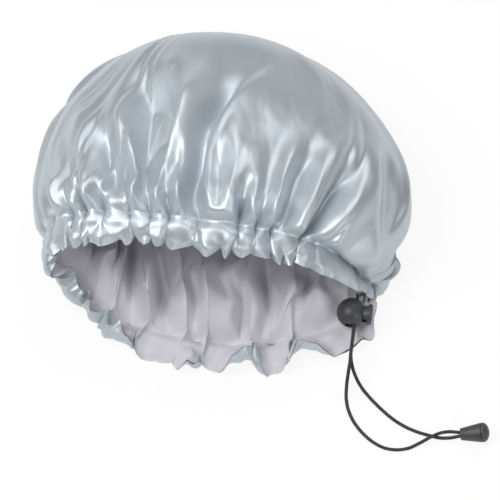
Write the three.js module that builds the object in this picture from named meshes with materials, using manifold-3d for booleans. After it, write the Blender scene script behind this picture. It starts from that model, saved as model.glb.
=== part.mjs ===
// Shower cap of gathered satin with a sewn-in lining, lying on its back with the opening toward -Y.
// Sizes in millimetres, +Z up. The hem channel holds an elastic drawcord, whose tails pass a ball
// cord lock and end in a bell-shaped cord end.
import * as THREE from 'three';
import { mergeVertices } from 'three/addons/utils/BufferGeometryUtils.js';
import Module from 'manifold-3d';

const wasm = await Module();
wasm.setup();

// Dome of the cap, as it lies puffed out
const CAP_WIDTH = 252;
const CAP_HEIGHT = 124;
const DOME_HALF_DEPTH = 139.5;
const DOME_CENTRE_Y = 97;
const DOME_CENTRE_Z = 62;
const CROWN_LEAN = 9; // the crown's end lies this far toward -X
const CROWN_SAG = 8; // and this far lower than the dome's centre
const UNDERSIDE_PRESS = 5; // how far the floor presses the rounded underside flat
const UNDERSIDE_RING_POWER = 0.35; // how squarely the underside meets the crown's end, and the sides
const UNDERSIDE_SIDE_POWER = 0.6;
const SHOULDER = [13, -9, 0]; // bulge of the cloth beside the cord's mouth
const SHOULDER_SPAN = 0.12; // share of the hem's length that it reaches, to each side
const SHOULDER_AT = 0.09; // where it is fullest, as a share of the way to the crown

// Cloth: each panel is a thin sheet, thicker than the real cloth
const CLOTH_THICKNESS = 0.6;
const LAYER_GAP = 0.4;

// Opening: the hem runs through these places, as shares of its width, setback and height
const OPENING_WIDTH = 218;
const OPENING_SETBACK = 54;
const OPENING_HEIGHT = 99;
const OPENING_CENTRE_X = -13;
const OPENING_FRONT_Y = 8;
const HEM_FLOOR = 6.5; // height of the drawcord over the floor at the far side of the hem
const HEM_ROUTE = [
  [1.0, 0.8, 0.187],
  [0.945, 0.72, 0.444],
  [0.725, 0.63, 0.768],
  [0.303, 0.667, 0.96],
  [-0.2, 0.78, 1.0],
  [-0.69, 0.907, 0.94],
  [-0.963, 0.98, 0.707],
  [-0.99, 0.963, 0.364],
  [-0.86, 0.75, 0.08],
  [-0.56, 0.36, 0],
  [-0.018, 0.02, 0],
  [0.486, 0, 0],
  [0.9, 0.26, 0],
  [1.05, 0.5, 0.01],
  [1.09, 0.8, 0.05],
];

// Channel along the hem, with the gathers that the drawcord pulls into it
const CHANNEL_WIDTH = 22;
const CHANNEL_EASE = 1.3; // room between the drawcord and each layer of cloth
const PUCKERS = 32;
const PUCKER_OUT = 6.5; // how far the satin bulges out of a gather
const PUCKER_IN = 3.2; // how far the lining bulges inward
const STITCH_RIPPLE = 1.6;
const EDGE_RIPPLE = 2.4;
const FLARE = 0.25;
const DROOP_FAR = 0.2; // fall of the channel toward its edge, at the far and the near side
const DROOP_NEAR = 0.5;
const MOUTH_SPAN = 0.022; // share of the hem's length where the channel is left open for the cord
const MOUTH_FULL = 0.4; // share of such a span that is wholly open
const MOUTH_EDGE = 0.4; // share of the channel's half width that is left there
const LOCK_SPAN = 0.15; // share of the hem's length where the lining lies flat beside the lock

// Folds that run from the hem into the crown, fading out on the way
const CROWN_FOLDS = 16;
const FOLD_DEPTH = 6;
const FOLD_WANDER = [3, 0.8]; // waves round the hem that move the folds, and how far, in radians
const UNEVEN_WAVES = [[5, 0.22, 1.3], [11, 0.14, 0]]; // waves round the hem, height share, phase
const PUCKER_RISE = 2;
const PUCKER_FADE = 0.2; // share of the way to the crown that the puckers reach
const FOLD_START = 0.04;
const FOLD_END = 0.7;
const DRAW_IN = 0.3; // share of the way to the crown over which the hem is drawn in
const DEEPEST_START = 0.9; // sine of the steepest latitude at which the cloth may leave the channel
const SLOPE_STEP = 0.004; // step along the cloth for its slope

// Rows of the cloth from the hem to the crown: share of the way, and points round the row
const HEM_POINTS = 96;
const CROWN_ROWS = [[0.09, 96], [0.2, 48], [0.36, 48], [0.54, 48], [0.72, 24], [0.87, 24]];

// Drawcord, round elastic
const CORD_DIAMETER = 2.5;
const CORD_GAP = 0.3;
const CORD_SIDES = 8;
const DRAWCORD_STEPS = 100;
const DRAWCORD_POINTS = 96;
const TAIL_STEPS = 40;
const EXIT_BEND = 5.5; // radius of the bend where each end leaves the channel
const EXIT_LENGTH = 1.4; // straight end of the drawcord after that bend
const STRAIGHT_RUN = 49; // from the channel through the lock and along its travel
const STRAIGHT_STEPS = 7;

// Ball cord lock, in its own frame: plunger along +X, cord along -Y
const LOCK_YAW = -7;
const LOCK_PITCH = 8;
const LOCK_FROM_MOUTH = 18.5;
const BALL_DIAMETER = 21;
const BALL_FACE_X = 7.8;
const STEM_DIAMETER = 11.8;
const STEM_INNER_X = -2;
const HEAD_DIAMETER = 14.4;
const HEAD_THICKNESS = 3;
const HEAD_ROUND = 0.9;
const HEAD_ROUND_STEPS = 5;
const PLUNGER_TRAVEL = 3;
const SLIDE_GAP = 0.3;
const CORD_HOLE_LENGTH = 8;
const CORD_HOLE_END_X = 4.4;
const PLUNGER_SLOT_LENGTH = 10;
const SLOT_CORNER_STEPS = 4;
const ROUND_SIDES = 28;
const BALL_RINGS = 14;

// Spring behind the plunger
const SPRING_WIRE = 0.7;
const SPRING_COIL_RADIUS = 2.7;
const SPRING_TURNS = 5;
const SPRING_GAP = 0.3;
const SPRING_WIRE_SIDES = 6;
const SPRING_STEPS_PER_TURN = 10;
const SPRING_SEAT = 2; // depth of the pocket for it in the plunger
const SPRING_POCKET_X = -8.6; // end of the pocket for it in the ball

// Bell-shaped cord end, along its own +X from the end that the cords enter
const BELL_SMALL_RADIUS = 4.15;
const BELL_LARGE_RADIUS = 6.85;
const BELL_LENGTH = 14.5;
const BELL_WALL = 1.15;
const BELL_FLOOR = 2.6; // thickness of the end that the cords enter
const BELL_EDGE = 0.5;
const LID_RIM = 0.9;
const LID_DOME = 4.4;
const LID_DOME_STEPS = 7;
const LID_PLUG = 2.2;
const LID_GAP = 0.3;
const BELL_AT = [166, -53.4, 4.5];
const BELL_TILT = 10.5;
const KNOT_X = 9.5;
const KNOT_RADIUS = 2.3;
const KNOT_TUBE = 0.9;
const KNOT_STEPS = 42;

// Tails on the floor, from where they leave the straight run to the bell
const UPPER_TAIL = [
  [89.3, -4.5, 18.2], [88.0, -11, 12.8], [87.0, -18, 7.4], [86.9, -26, 3.3], [88.6, -34, 1.7],
  [92.4, -43, 1.5], [98.4, -51.5, 1.5], [105.6, -58.4, 1.5], [113.6, -62.8, 1.5],
  [121.7, -64, 1.5], [129.7, -62.8, 1.6], [137.7, -59.2, 2.6], [145, -55.6, 4.3],
  [151.6, -52.6, 4.6], [158, -51.4, 4.5],
];
const LOWER_TAIL = [
  [90.8, -4, 14.8], [93.4, -10.5, 9.6], [98, -17.5, 5], [104.4, -24.8, 2.3], [112, -33, 1.5],
  [120, -40.6, 1.5], [128.9, -46.7, 1.5], [137.7, -50.7, 1.5], [145, -53, 1.5],
  [151.6, -54.7, 1.5], [158.2, -55.3, 2.6],
];

const SATIN = { color: 0xb7c3cc, roughness: 0.4, metalness: 0 };
const LINING = { color: 0xc9c7d2, roughness: 0.8, metalness: 0 };
const BLACK_CORD = { color: 0x202123, roughness: 0.8, metalness: 0 };
const GREY_PLASTIC = { color: 0x46474b, roughness: 0.45, metalness: 0 };
const SPRING_STEEL = { color: 0xb8babd, roughness: 0.35, metalness: 1 };

const TURN = 2 * Math.PI;
const at = (v) => new THREE.Vector3(...v);
const mix = THREE.MathUtils.lerp;
const radians = THREE.MathUtils.degToRad;

const hem = new THREE.CatmullRomCurve3(
  HEM_ROUTE.map(([across, back, up]) => new THREE.Vector3(
    OPENING_CENTRE_X + across * OPENING_WIDTH / 2,
    OPENING_FRONT_Y + back * OPENING_SETBACK,
    HEM_FLOOR + up * OPENING_HEIGHT,
  )),
  true,
  'centripetal',
);
hem.arcLengthDivisions = 600;
const hemCentre = new THREE.Vector3(
  OPENING_CENTRE_X,
  OPENING_FRONT_Y + OPENING_SETBACK / 2,
  HEM_FLOOR + OPENING_HEIGHT / 2,
);

// The lock's frame, turned to lie on the hem, and the way that the cord runs through it
const lockTurn = new THREE.Quaternion().setFromEuler(new THREE.Euler(0, 0, radians(LOCK_YAW)))
  .multiply(new THREE.Quaternion().setFromEuler(new THREE.Euler(radians(LOCK_PITCH), 0, 0)));
const lockX = new THREE.Vector3(1, 0, 0).applyQuaternion(lockTurn);
const cordWay = new THREE.Vector3(0, -1, 0).applyQuaternion(lockTurn);
const stackWay = new THREE.Vector3(0, 0, 1).applyQuaternion(lockTurn);

// Nearness to the mouth of the channel, for a place round the hem from 0 to 1: 1 beside it, 0 out of its span
function nearMouth(round, span) {
  const away = Math.min(round, 1 - round);
  return 1 - THREE.MathUtils.smoothstep(away, MOUTH_FULL * span, span);
}

const mouthShare = (round) => nearMouth(round, MOUTH_SPAN);

// Frame of the channel at a place round the hem: the drawcord's place, the way to the edge, and outward
function channelFrame(round) {
  const place = hem.getPointAt(round);
  const along = hem.getTangentAt(round);
  const across = (place.x - OPENING_CENTRE_X) / (OPENING_WIDTH / 2);
  const up = (place.z - HEM_FLOOR) / OPENING_HEIGHT;
  const toEdge = new THREE.Vector3(FLARE * across, -1, -mix(DROOP_FAR, DROOP_NEAR, up));
  toEdge.lerp(cordWay, mouthShare(round));
  toEdge.addScaledVector(along, -toEdge.dot(along)).normalize();
  const outward = new THREE.Vector3().crossVectors(along, toEdge).normalize();
  if (outward.dot(place.clone().sub(hemCentre)) < 0) outward.negate();
  return { place, toEdge, outward };
}

// Place on the smooth dome, by its angle round the crown axis and its latitude toward the crown
function domePlace(angle, latitude) {
  const ring = Math.cos(latitude);
  const toCrown = Math.max(0, Math.sin(latitude));
  const rise = Math.sin(angle);
  const centreZ = DOME_CENTRE_Z - CROWN_SAG * toCrown ** 2;
  const above = (CAP_HEIGHT - DOME_CENTRE_Z) * ring * rise;
  const below = -(centreZ + UNDERSIDE_PRESS)
    * ring ** UNDERSIDE_RING_POWER * Math.abs(rise) ** UNDERSIDE_SIDE_POWER;
  return new THREE.Vector3(
    CAP_WIDTH / 2 * ring * Math.cos(angle) - CROWN_LEAN * toCrown,
    DOME_CENTRE_Y + DOME_HALF_DEPTH * Math.sin(latitude),
    centreZ + (rise > 0 ? above : below),
  );
}

// Place on the cloth without its folds, from the stitch line (share 0) to the crown's end (share 1)
function crownPlace(round, share) {
  const within = ((round % 1) + 1) % 1;
  const { place, toEdge } = channelFrame(within);
  const stitch = place.clone().addScaledVector(toEdge, -CHANNEL_WIDTH / 2);
  const angle = Math.atan2(
    (stitch.z - DOME_CENTRE_Z) / (CAP_HEIGHT / 2),
    stitch.x / (CAP_WIDTH / 2),
  );
  const depth = (stitch.y - DOME_CENTRE_Y) / DOME_HALF_DEPTH;
  const start = Math.asin(THREE.MathUtils.clamp(depth, -DEEPEST_START, DEEPEST_START));
  const drawn = Math.max(0, 1 - share / DRAW_IN) ** 2;
  const offset = stitch.sub(domePlace(angle, start)).multiplyScalar(drawn);
  const toShoulder = share / SHOULDER_AT;
  const bulge = nearMouth(within, SHOULDER_SPAN) * toShoulder * Math.exp(1 - toShoulder);
  return domePlace(angle, mix(start, Math.PI / 2, share)).add(offset).addScaledVector(at(SHOULDER), bulge);
}

function crownOutward(round, share) {
  const along = crownPlace(round + SLOPE_STEP, share).sub(crownPlace(round - SLOPE_STEP, share));
  const toCrown = crownPlace(round, Math.min(share + SLOPE_STEP, 1)).sub(crownPlace(round, share - SLOPE_STEP));
  const outward = along.cross(toCrown).normalize();
  const middle = new THREE.Vector3(0, DOME_CENTRE_Y, DOME_CENTRE_Z);
  return outward.dot(crownPlace(round, share).sub(middle)) < 0 ? outward.negate() : outward;
}

const pucker = (round) => 0.5 - 0.5 * Math.cos(TURN * PUCKERS * round);
const uneven = (round) => UNEVEN_WAVES.reduce(
  (sum, [waves, height, phase]) => sum + height * Math.sin(TURN * waves * round + phase),
  1,
);

function foldHeight(round, share) {
  const rising = THREE.MathUtils.smoothstep(share, 0, FOLD_START);
  const fading = 1 - THREE.MathUtils.smoothstep(share, FOLD_START, FOLD_END);
  const [waves, wander] = FOLD_WANDER;
  const fold = Math.cos(TURN * CROWN_FOLDS * round + wander * Math.sin(TURN * waves * round));
  const rise = PUCKER_RISE * Math.max(0, 1 - share / PUCKER_FADE) * pucker(round);
  return uneven(round) * rising * (FOLD_DEPTH * fading * fold + rise);
}

// One sheet of cloth. Side 1 is the satin, outside; side -1 the lining, inside. Each row has the
// sheet's face away from the other layer, then its face toward it.
function clothRows(side) {
  const faces = [side * (LAYER_GAP / 2 + CLOTH_THICKNESS), side * LAYER_GAP / 2];
  const lowest = side > 0
    ? [0, CLOTH_THICKNESS]
    : [2 * CLOTH_THICKNESS + LAYER_GAP, CLOTH_THICKNESS + LAYER_GAP];
  const lay = (place, outward, height, face) => {
    const point = place.clone().addScaledVector(outward, height + faces[face]);
    point.z = Math.max(point.z, lowest[face]);
    return point;
  };
  const ring = (count, pointAt) => [0, 1].map((face) => (
    Array.from({ length: count }, (_, i) => pointAt(i / count, face))
  ));
  const bulge = (round) => (side > 0
    ? PUCKER_OUT * (1 - mouthShare(round))
    : PUCKER_IN * (1 - nearMouth(round, LOCK_SPAN)));
  const cordRoom = CORD_DIAMETER / 2 + CHANNEL_EASE;
  const channelRow = (width, height) => ring(HEM_POINTS, (round, face) => {
    const { place, toEdge, outward } = channelFrame(round);
    place.addScaledVector(toEdge, width(round) * CHANNEL_WIDTH / 2);
    return lay(place, outward, height(round), face);
  });
  const edge = channelRow(
    (round) => mix(1, MOUTH_EDGE, mouthShare(round)),
    (round) => mix(EDGE_RIPPLE * (2 * pucker(round) - 1), side * cordRoom, mouthShare(round)),
  );
  const middle = channelRow(
    () => 0,
    (round) => side * (cordRoom + bulge(round) * uneven(round) * pucker(round)),
  );
  const stitch = channelRow(() => -1, (round) => STITCH_RIPPLE * (2 * pucker(round) - 1));
  const crown = CROWN_ROWS.map(([share, count]) => ring(count, (round, face) => (
    lay(crownPlace(round, share), crownOutward(round, share), foldHeight(round, share), face)
  )));
  const end = ring(1, (round, face) => (
    lay(crownPlace(round, 1), new THREE.Vector3(0, 1, 0), 0, face)
  ));
  return [edge, middle, stitch, ...crown, end];
}

// Triangles between two rings of points, where the second may have fewer; both are given by first index and count
function strip([startA, a], [startB, b], flip) {
  const triangles = [];
  for (let i = 0; i < a; i += 1) {
    const [a0, a1] = [i, i + 1].map((k) => startA + k % a);
    const [b0, b1] = [i, i + 1].map((k) => startB + Math.floor(k * b / a) % b);
    triangles.push(flip ? [a1, a0, b0] : [a0, a1, b0]);
    if (b0 !== b1) triangles.push(flip ? [b1, a1, b0] : [a1, b1, b0]);
  }
  return triangles.flat();
}

function closedGeometry(points, index) {
  let volume = 0;
  for (let k = 0; k < index.length; k += 3) {
    const [a, b, c] = [0, 1, 2].map((j) => points[index[k + j]]);
    volume += a.dot(new THREE.Vector3().crossVectors(b, c));
  }
  const geometry = new THREE.BufferGeometry();
  geometry.setAttribute('position', new THREE.Float32BufferAttribute(points.flatMap((p) => p.toArray()), 3));
  geometry.setIndex(volume < 0 ? index.reverse() : index);
  geometry.computeVertexNormals();
  return geometry;
}

// Both faces of a sheet from the hem's edge to the crown's end, joined along that edge
function clothGeometry(side) {
  const rows = clothRows(side);
  const points = [];
  const rings = [0, 1].map((face) => rows.map((row) => {
    points.push(...row[face]);
    return [points.length - row[face].length, row[face].length];
  }));
  const index = strip(rings[0][0], rings[1][0], false);
  for (let r = 0; r + 1 < rows.length; r += 1) {
    index.push(...strip(rings[0][r], rings[0][r + 1], true));
    index.push(...strip(rings[1][r], rings[1][r + 1], false));
  }
  return closedGeometry(points, index);
}

function tubeGeometry(points, diameter, sides, steps) {
  const curve = new THREE.CatmullRomCurve3(points, false, 'centripetal');
  curve.arcLengthDivisions = 10 * steps;
  const circle = new THREE.Shape(
    Array.from({ length: sides }, (_, i) => new THREE.Vector2(
      diameter / 2 * Math.cos(TURN * i / sides),
      diameter / 2 * Math.sin(TURN * i / sides),
    )),
  );
  return new THREE.ExtrudeGeometry(circle, { steps, extrudePath: curve, bevelEnabled: false });
}

function solidOf(geometry) {
  const plain = new THREE.BufferGeometry();
  plain.setAttribute('position', geometry.getAttribute('position'));
  plain.setIndex(geometry.getIndex());
  const merged = mergeVertices(plain, 1e-4);
  const index = [];
  const corners = merged.getIndex().array;
  for (let k = 0; k < corners.length; k += 3) {
    const [a, b, c] = corners.slice(k, k + 3);
    if (a !== b && b !== c && c !== a) index.push(a, b, c);
  }
  return new wasm.Manifold(new wasm.Mesh({
    numProp: 3,
    vertProperties: new Float32Array(merged.getAttribute('position').array),
    triVerts: new Uint32Array(index),
  }));
}

function geometryOf(solid) {
  const mesh = solid.getMesh();
  const geometry = new THREE.BufferGeometry();
  geometry.setAttribute('position', new THREE.Float32BufferAttribute(mesh.vertProperties, 3));
  geometry.setIndex(Array.from(mesh.triVerts));
  geometry.computeVertexNormals();
  return geometry;
}

// Solid of revolution round X from points given as [place along X, radius]
function turned(profile, sides = ROUND_SIDES) {
  const geometry = new THREE.LatheGeometry(profile.map(([x, r]) => new THREE.Vector2(r, x)), sides);
  return geometry.rotateZ(-Math.PI / 2);
}

const rod = (from, to, radius) => turned([[from, 0], [from, radius], [to, radius], [to, 0]]);

// Slot through the lock along Y, between two places along X, with corners that are round like the cords
function slotCutter(from, to) {
  const radius = CORD_DIAMETER / 2 + SLIDE_GAP;
  const side = slotWidth / 2 - radius;
  const corners = [[to - radius, side], [from + radius, side], [from + radius, -side], [to - radius, -side]];
  const outline = new THREE.Shape();
  corners.forEach(([x, y], i) => {
    outline.absarc(x, y, radius, i * Math.PI / 2, (i + 1) * Math.PI / 2);
  });
  const length = 2 * BALL_DIAMETER;
  const geometry = new THREE.ExtrudeGeometry(outline, {
    depth: length, bevelEnabled: false, curveSegments: SLOT_CORNER_STEPS,
  });
  return geometry.translate(0, 0, -length / 2).rotateX(Math.PI / 2);
}

const cordWidth = 2 * CORD_DIAMETER + CORD_GAP; // both cords, one above the other
const slotWidth = cordWidth + 2 * SLIDE_GAP;
const cordX = CORD_HOLE_END_X - SLIDE_GAP - CORD_DIAMETER / 2; // where the plunger clamps the cords
const slotStartX = cordX - CORD_DIAMETER / 2 - SLIDE_GAP;
const headX = slotStartX + PLUNGER_SLOT_LENGTH + SLIDE_GAP;
const boreRadius = STEM_DIAMETER / 2 + SLIDE_GAP;
const boreEndX = STEM_INNER_X - PLUNGER_TRAVEL - SLIDE_GAP;
const pocketRadius = SPRING_COIL_RADIUS + SPRING_WIRE / 2 + SPRING_GAP;

function barrelGeometry() {
  const radius = BALL_DIAMETER / 2;
  const face = Math.acos(BALL_FACE_X / radius);
  const arc = Array.from({ length: BALL_RINGS + 1 }, (_, i) => {
    const angle = mix(Math.PI, face, i / BALL_RINGS);
    return [radius * Math.cos(angle), i === 0 ? 0 : radius * Math.sin(angle)];
  });
  const ball = solidOf(turned([...arc, [BALL_FACE_X, 0]]));
  const bore = solidOf(rod(boreEndX, radius, boreRadius));
  const pocket = solidOf(rod(SPRING_POCKET_X, boreEndX + SLIDE_GAP, pocketRadius));
  const hole = solidOf(slotCutter(CORD_HOLE_END_X - CORD_HOLE_LENGTH, CORD_HOLE_END_X));
  return geometryOf(ball.subtract(bore).subtract(pocket).subtract(hole));
}

function plungerGeometry() {
  const stem = STEM_DIAMETER / 2;
  const head = HEAD_DIAMETER / 2;
  const outerX = headX + HEAD_THICKNESS;
  const round = Array.from({ length: HEAD_ROUND_STEPS + 1 }, (_, i) => {
    const angle = Math.PI / 2 * (1 - i / HEAD_ROUND_STEPS);
    return [outerX - HEAD_ROUND + HEAD_ROUND * Math.cos(angle), head - HEAD_ROUND + HEAD_ROUND * Math.sin(angle)];
  });
  const body = solidOf(turned([
    [STEM_INNER_X + SPRING_SEAT, 0],
    [STEM_INNER_X + SPRING_SEAT, pocketRadius],
    [STEM_INNER_X, pocketRadius],
    [STEM_INNER_X, stem],
    [headX, stem],
    [headX, head],
    ...round,
    [outerX, 0],
  ]));
  return geometryOf(body.subtract(solidOf(slotCutter(slotStartX, slotStartX + PLUNGER_SLOT_LENGTH))));
}

function springGeometry() {
  const from = SPRING_POCKET_X + SPRING_GAP + SPRING_WIRE / 2;
  const to = STEM_INNER_X + SPRING_SEAT - SPRING_GAP - SPRING_WIRE / 2;
  const count = SPRING_TURNS * SPRING_STEPS_PER_TURN;
  const points = Array.from({ length: count + 1 }, (_, i) => {
    const angle = TURN * i / SPRING_STEPS_PER_TURN;
    return new THREE.Vector3(
      mix(from, to, i / count),
      SPRING_COIL_RADIUS * Math.cos(angle),
      SPRING_COIL_RADIUS * Math.sin(angle),
    );
  });
  const between = points[0].distanceTo(points[SPRING_STEPS_PER_TURN]) - SPRING_WIRE;
  console.log(`least gap between the spring's coils: ${between.toFixed(2)} mm`);
  return tubeGeometry(points, SPRING_WIRE, SPRING_WIRE_SIDES, count);
}

function bellGeometry() {
  const entry = cordWidth / 2 + SLIDE_GAP;
  const slope = (BELL_LARGE_RADIUS - BELL_SMALL_RADIUS) / BELL_LENGTH;
  return turned([
    [0, entry],
    [0, BELL_SMALL_RADIUS - BELL_EDGE],
    [BELL_EDGE, BELL_SMALL_RADIUS],
    [BELL_LENGTH, BELL_LARGE_RADIUS],
    [BELL_LENGTH, BELL_LARGE_RADIUS - BELL_WALL],
    [BELL_FLOOR, BELL_SMALL_RADIUS + slope * BELL_FLOOR - BELL_WALL],
    [BELL_FLOOR, entry],
    [0, entry],
  ]);
}

function lidGeometry() {
  const seat = BELL_LENGTH + LID_GAP;
  const slope = (BELL_LARGE_RADIUS - BELL_SMALL_RADIUS) / BELL_LENGTH;
  const plug = BELL_LARGE_RADIUS - BELL_WALL - slope * LID_PLUG - LID_GAP;
  const dome = Array.from({ length: LID_DOME_STEPS + 1 }, (_, i) => {
    const angle = Math.PI / 2 * i / LID_DOME_STEPS;
    const radius = i === LID_DOME_STEPS ? 0 : BELL_LARGE_RADIUS * Math.cos(angle);
    return [seat + LID_RIM + LID_DOME * Math.sin(angle), radius];
  });
  return turned([
    [BELL_LENGTH - LID_PLUG, 0],
    [BELL_LENGTH - LID_PLUG, plug],
    [seat, plug],
    [seat, BELL_LARGE_RADIUS],
    ...dome,
  ]);
}

const part = new THREE.Group();

function add(name, geometry, look, group = part) {
  const mesh = new THREE.Mesh(geometry, new THREE.MeshStandardMaterial(look));
  mesh.name = name;
  group.add(mesh);
}

// Lock frame, and the two strands that run straight through it
const lockYaw = new THREE.Group();
const lock = new THREE.Group();
lockYaw.rotation.z = radians(LOCK_YAW);
lock.rotation.x = radians(LOCK_PITCH);
lockYaw.add(lock);
const mouth = hem.getPointAt(0);
lockYaw.position.copy(mouth).addScaledVector(cordWay, LOCK_FROM_MOUTH).addScaledVector(lockX, -cordX);
part.add(lockYaw);

const strandOffset = (CORD_DIAMETER + CORD_GAP) / 2;
const strandPlace = (stack, distance) => mouth.clone()
  .addScaledVector(stackWay, stack * strandOffset)
  .addScaledVector(cordWay, distance);

// Drawcord inside the channel: once round the hem, both ends bent out of the mouth
const bendStart = EXIT_BEND + strandOffset;
const bendMiddle = EXIT_BEND * (1 - Math.SQRT1_2);
const bendPoints = (stack) => [
  mouth.clone().addScaledVector(stackWay, stack * (strandOffset + bendMiddle)).addScaledVector(cordWay, bendMiddle),
  strandPlace(stack, EXIT_BEND),
  strandPlace(stack, EXIT_BEND + EXIT_LENGTH),
];
const firstRound = bendStart / hem.getLength();
const roundPoints = Array.from({ length: DRAWCORD_POINTS + 1 }, (_, i) => (
  hem.getPointAt(mix(firstRound, 1 - firstRound, i / DRAWCORD_POINTS))
));
const drawcord = [...bendPoints(1).reverse(), ...roundPoints, ...bendPoints(-1)];

const bellPlace = (x, side) => new THREE.Vector3(x, side * strandOffset, 0)
  .applyEuler(new THREE.Euler(0, radians(-BELL_TILT), 0))
  .add(at(BELL_AT));
const tailEndX = KNOT_X - KNOT_RADIUS / 2 - KNOT_TUBE - CORD_GAP;
const tail = (stack, route, side) => [
  ...Array.from({ length: STRAIGHT_STEPS + 1 }, (_, i) => (
    strandPlace(stack, mix(EXIT_BEND + EXIT_LENGTH + CORD_GAP, STRAIGHT_RUN, i / STRAIGHT_STEPS))
  )),
  ...route.map(at),
  bellPlace(0, side),
  bellPlace(tailEndX, side),
];

add('satin_panel', clothGeometry(1), SATIN);
add('lining_panel', clothGeometry(-1), LINING);
add('drawcord', tubeGeometry(drawcord, CORD_DIAMETER, CORD_SIDES, DRAWCORD_STEPS), BLACK_CORD);
add('cord_tail_upper', tubeGeometry(tail(1, UPPER_TAIL, 1), CORD_DIAMETER, CORD_SIDES, TAIL_STEPS), BLACK_CORD);
add('cord_tail_lower', tubeGeometry(tail(-1, LOWER_TAIL, -1), CORD_DIAMETER, CORD_SIDES, TAIL_STEPS), BLACK_CORD);
add('lock_barrel', barrelGeometry(), GREY_PLASTIC, lock);
add('lock_plunger', plungerGeometry(), GREY_PLASTIC, lock);
add('lock_spring', springGeometry(), SPRING_STEEL, lock);

const bell = new THREE.Group();
bell.position.copy(at(BELL_AT));
bell.rotation.y = radians(-BELL_TILT);
part.add(bell);
add('bell_shell', bellGeometry(), GREY_PLASTIC, bell);
add('bell_lid', lidGeometry(), GREY_PLASTIC, bell);
const knot = new THREE.TorusKnotGeometry(KNOT_RADIUS, KNOT_TUBE, KNOT_STEPS, CORD_SIDES, 2, 3);
add('cord_knot', knot.rotateY(Math.PI / 2).translate(KNOT_X, 0, 0), BLACK_CORD, bell);

// The origin is on the floor under the middle of the cap, whatever its size
const cap = new THREE.Box3();
part.children.filter((child) => child.name.endsWith('_panel')).forEach((panel) => cap.expandByObject(panel, true));
part.position.set(-(cap.min.x + cap.max.x) / 2, -(cap.min.y + cap.max.y) / 2, -cap.min.z);

export default part;
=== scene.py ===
"""Looks of a gathered satin shower cap: lining, elastic drawcord, ball cord lock and bell cord end."""
import math

import bmesh
import bpy
import numpy as np
from mathutils import Matrix, Vector


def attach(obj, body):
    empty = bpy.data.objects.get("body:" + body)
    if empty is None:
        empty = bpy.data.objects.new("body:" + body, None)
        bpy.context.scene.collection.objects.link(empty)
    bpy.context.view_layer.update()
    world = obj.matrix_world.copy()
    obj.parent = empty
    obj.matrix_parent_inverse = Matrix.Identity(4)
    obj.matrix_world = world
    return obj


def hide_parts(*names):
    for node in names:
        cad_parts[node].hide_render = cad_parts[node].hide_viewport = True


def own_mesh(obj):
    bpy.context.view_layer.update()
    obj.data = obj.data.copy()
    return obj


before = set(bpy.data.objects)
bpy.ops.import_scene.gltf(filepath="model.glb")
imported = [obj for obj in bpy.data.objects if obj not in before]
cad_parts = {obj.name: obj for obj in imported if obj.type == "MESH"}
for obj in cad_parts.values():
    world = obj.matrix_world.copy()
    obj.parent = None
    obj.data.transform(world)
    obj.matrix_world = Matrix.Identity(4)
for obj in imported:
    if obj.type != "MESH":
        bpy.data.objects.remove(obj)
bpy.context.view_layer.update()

MM = 0.001
TURN = 2 * math.pi
rng = np.random.default_rng(11)

# Sizes are those of the solids' source, in millimetres, from its own zero; ORIGIN brings them into the frame
ORIGIN = np.array([-1.155, -116.191, 0.0])

# Cap, lying on its back with the opening toward -Y
CAP_WIDTH = 252
CAP_HEIGHT = 124
DOME_HALF_DEPTH = 139.5
DOME_CENTRE_Y = 97
DOME_CENTRE_Z = 62
CROWN_LEAN = 9
CROWN_SAG = 8
UNDERSIDE_PRESS = 5
UNDERSIDE_RING_POWER = 0.35
UNDERSIDE_SIDE_POWER = 0.6
LYING_HEIGHT = 0.8  # middle of the two layers over the floor, where they lie on it

# Hem: places as shares of the opening's width, setback and height, from the cord's mouth over the near side
OPENING_WIDTH = 218
OPENING_SETBACK = 54
OPENING_HEIGHT = 99
OPENING_CENTRE_X = -13
OPENING_FRONT_Y = 8
HEM_FLOOR = 6.5
HEM_ROUTE = np.array([
    [1.0, 0.8, 0.187], [0.945, 0.72, 0.444], [0.725, 0.63, 0.768], [0.303, 0.667, 0.96],
    [-0.2, 0.78, 1.0], [-0.69, 0.907, 0.94], [-0.963, 0.98, 0.707], [-0.99, 0.963, 0.364],
    [-0.86, 0.75, 0.08], [-0.56, 0.36, 0.0], [-0.018, 0.02, 0.0], [0.486, 0.0, 0.0],
    [0.9, 0.26, 0.0], [1.05, 0.5, 0.01], [1.09, 0.8, 0.05],
])
CHANNEL_WIDTH = 22
FLARE = 0.25
DROOP_FAR = 0.2
DROOP_NEAR = 0.5
MOUTH_SPAN = 0.022
MOUTH_CORE = 0.4  # share of a span beside the mouth where its effect is full
MOUTH_EDGE = 0.4  # share of the channel's edge that is left at the mouth
CALM_SPANS = 5  # spans beside the mouth without puckers
ROLL_SPANS = 3  # spans beside the mouth without a rolled edge
DRAW_IN = 0.3
SHOULDER = np.array([13, -9, 0])  # bulge of the cloth beside the cord's mouth
SHOULDER_SPAN = 0.12
SHOULDER_AT = 0.09

# Gathers: cloth for each length of hem, and the folds that it makes
FLAT_RISE, FLAT_FALL = (0.012, 0.03), (0.095, 0.13)  # stretch of hem with few gathers, beside the lock
FLAT_GATHER = 0.6
FLAT_CALM = 0.75
GATHER_WAVES = ((3, 0.12, 0.7), (7, 0.1, 0.0))  # waves round the hem, their depth and phase
GATHER_SAMPLES = 2001
EVEN_SPREAD = (0.05, 0.8)  # from the gathers at the hem to an even spread at the crown

# Mesh of the cloth
COLUMNS = 704
BAND_ROWS = 16
FINE_ROWS = 20
FINE_STEP = 1.9
COARSE_STEP = 2.4
SMALLEST_RING = 11
SMALLEST_EDGE = 0.8
GRID_SAMPLES = 200
CORD_SKIP = 0.02
CORD_SAMPLES = 300

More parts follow.
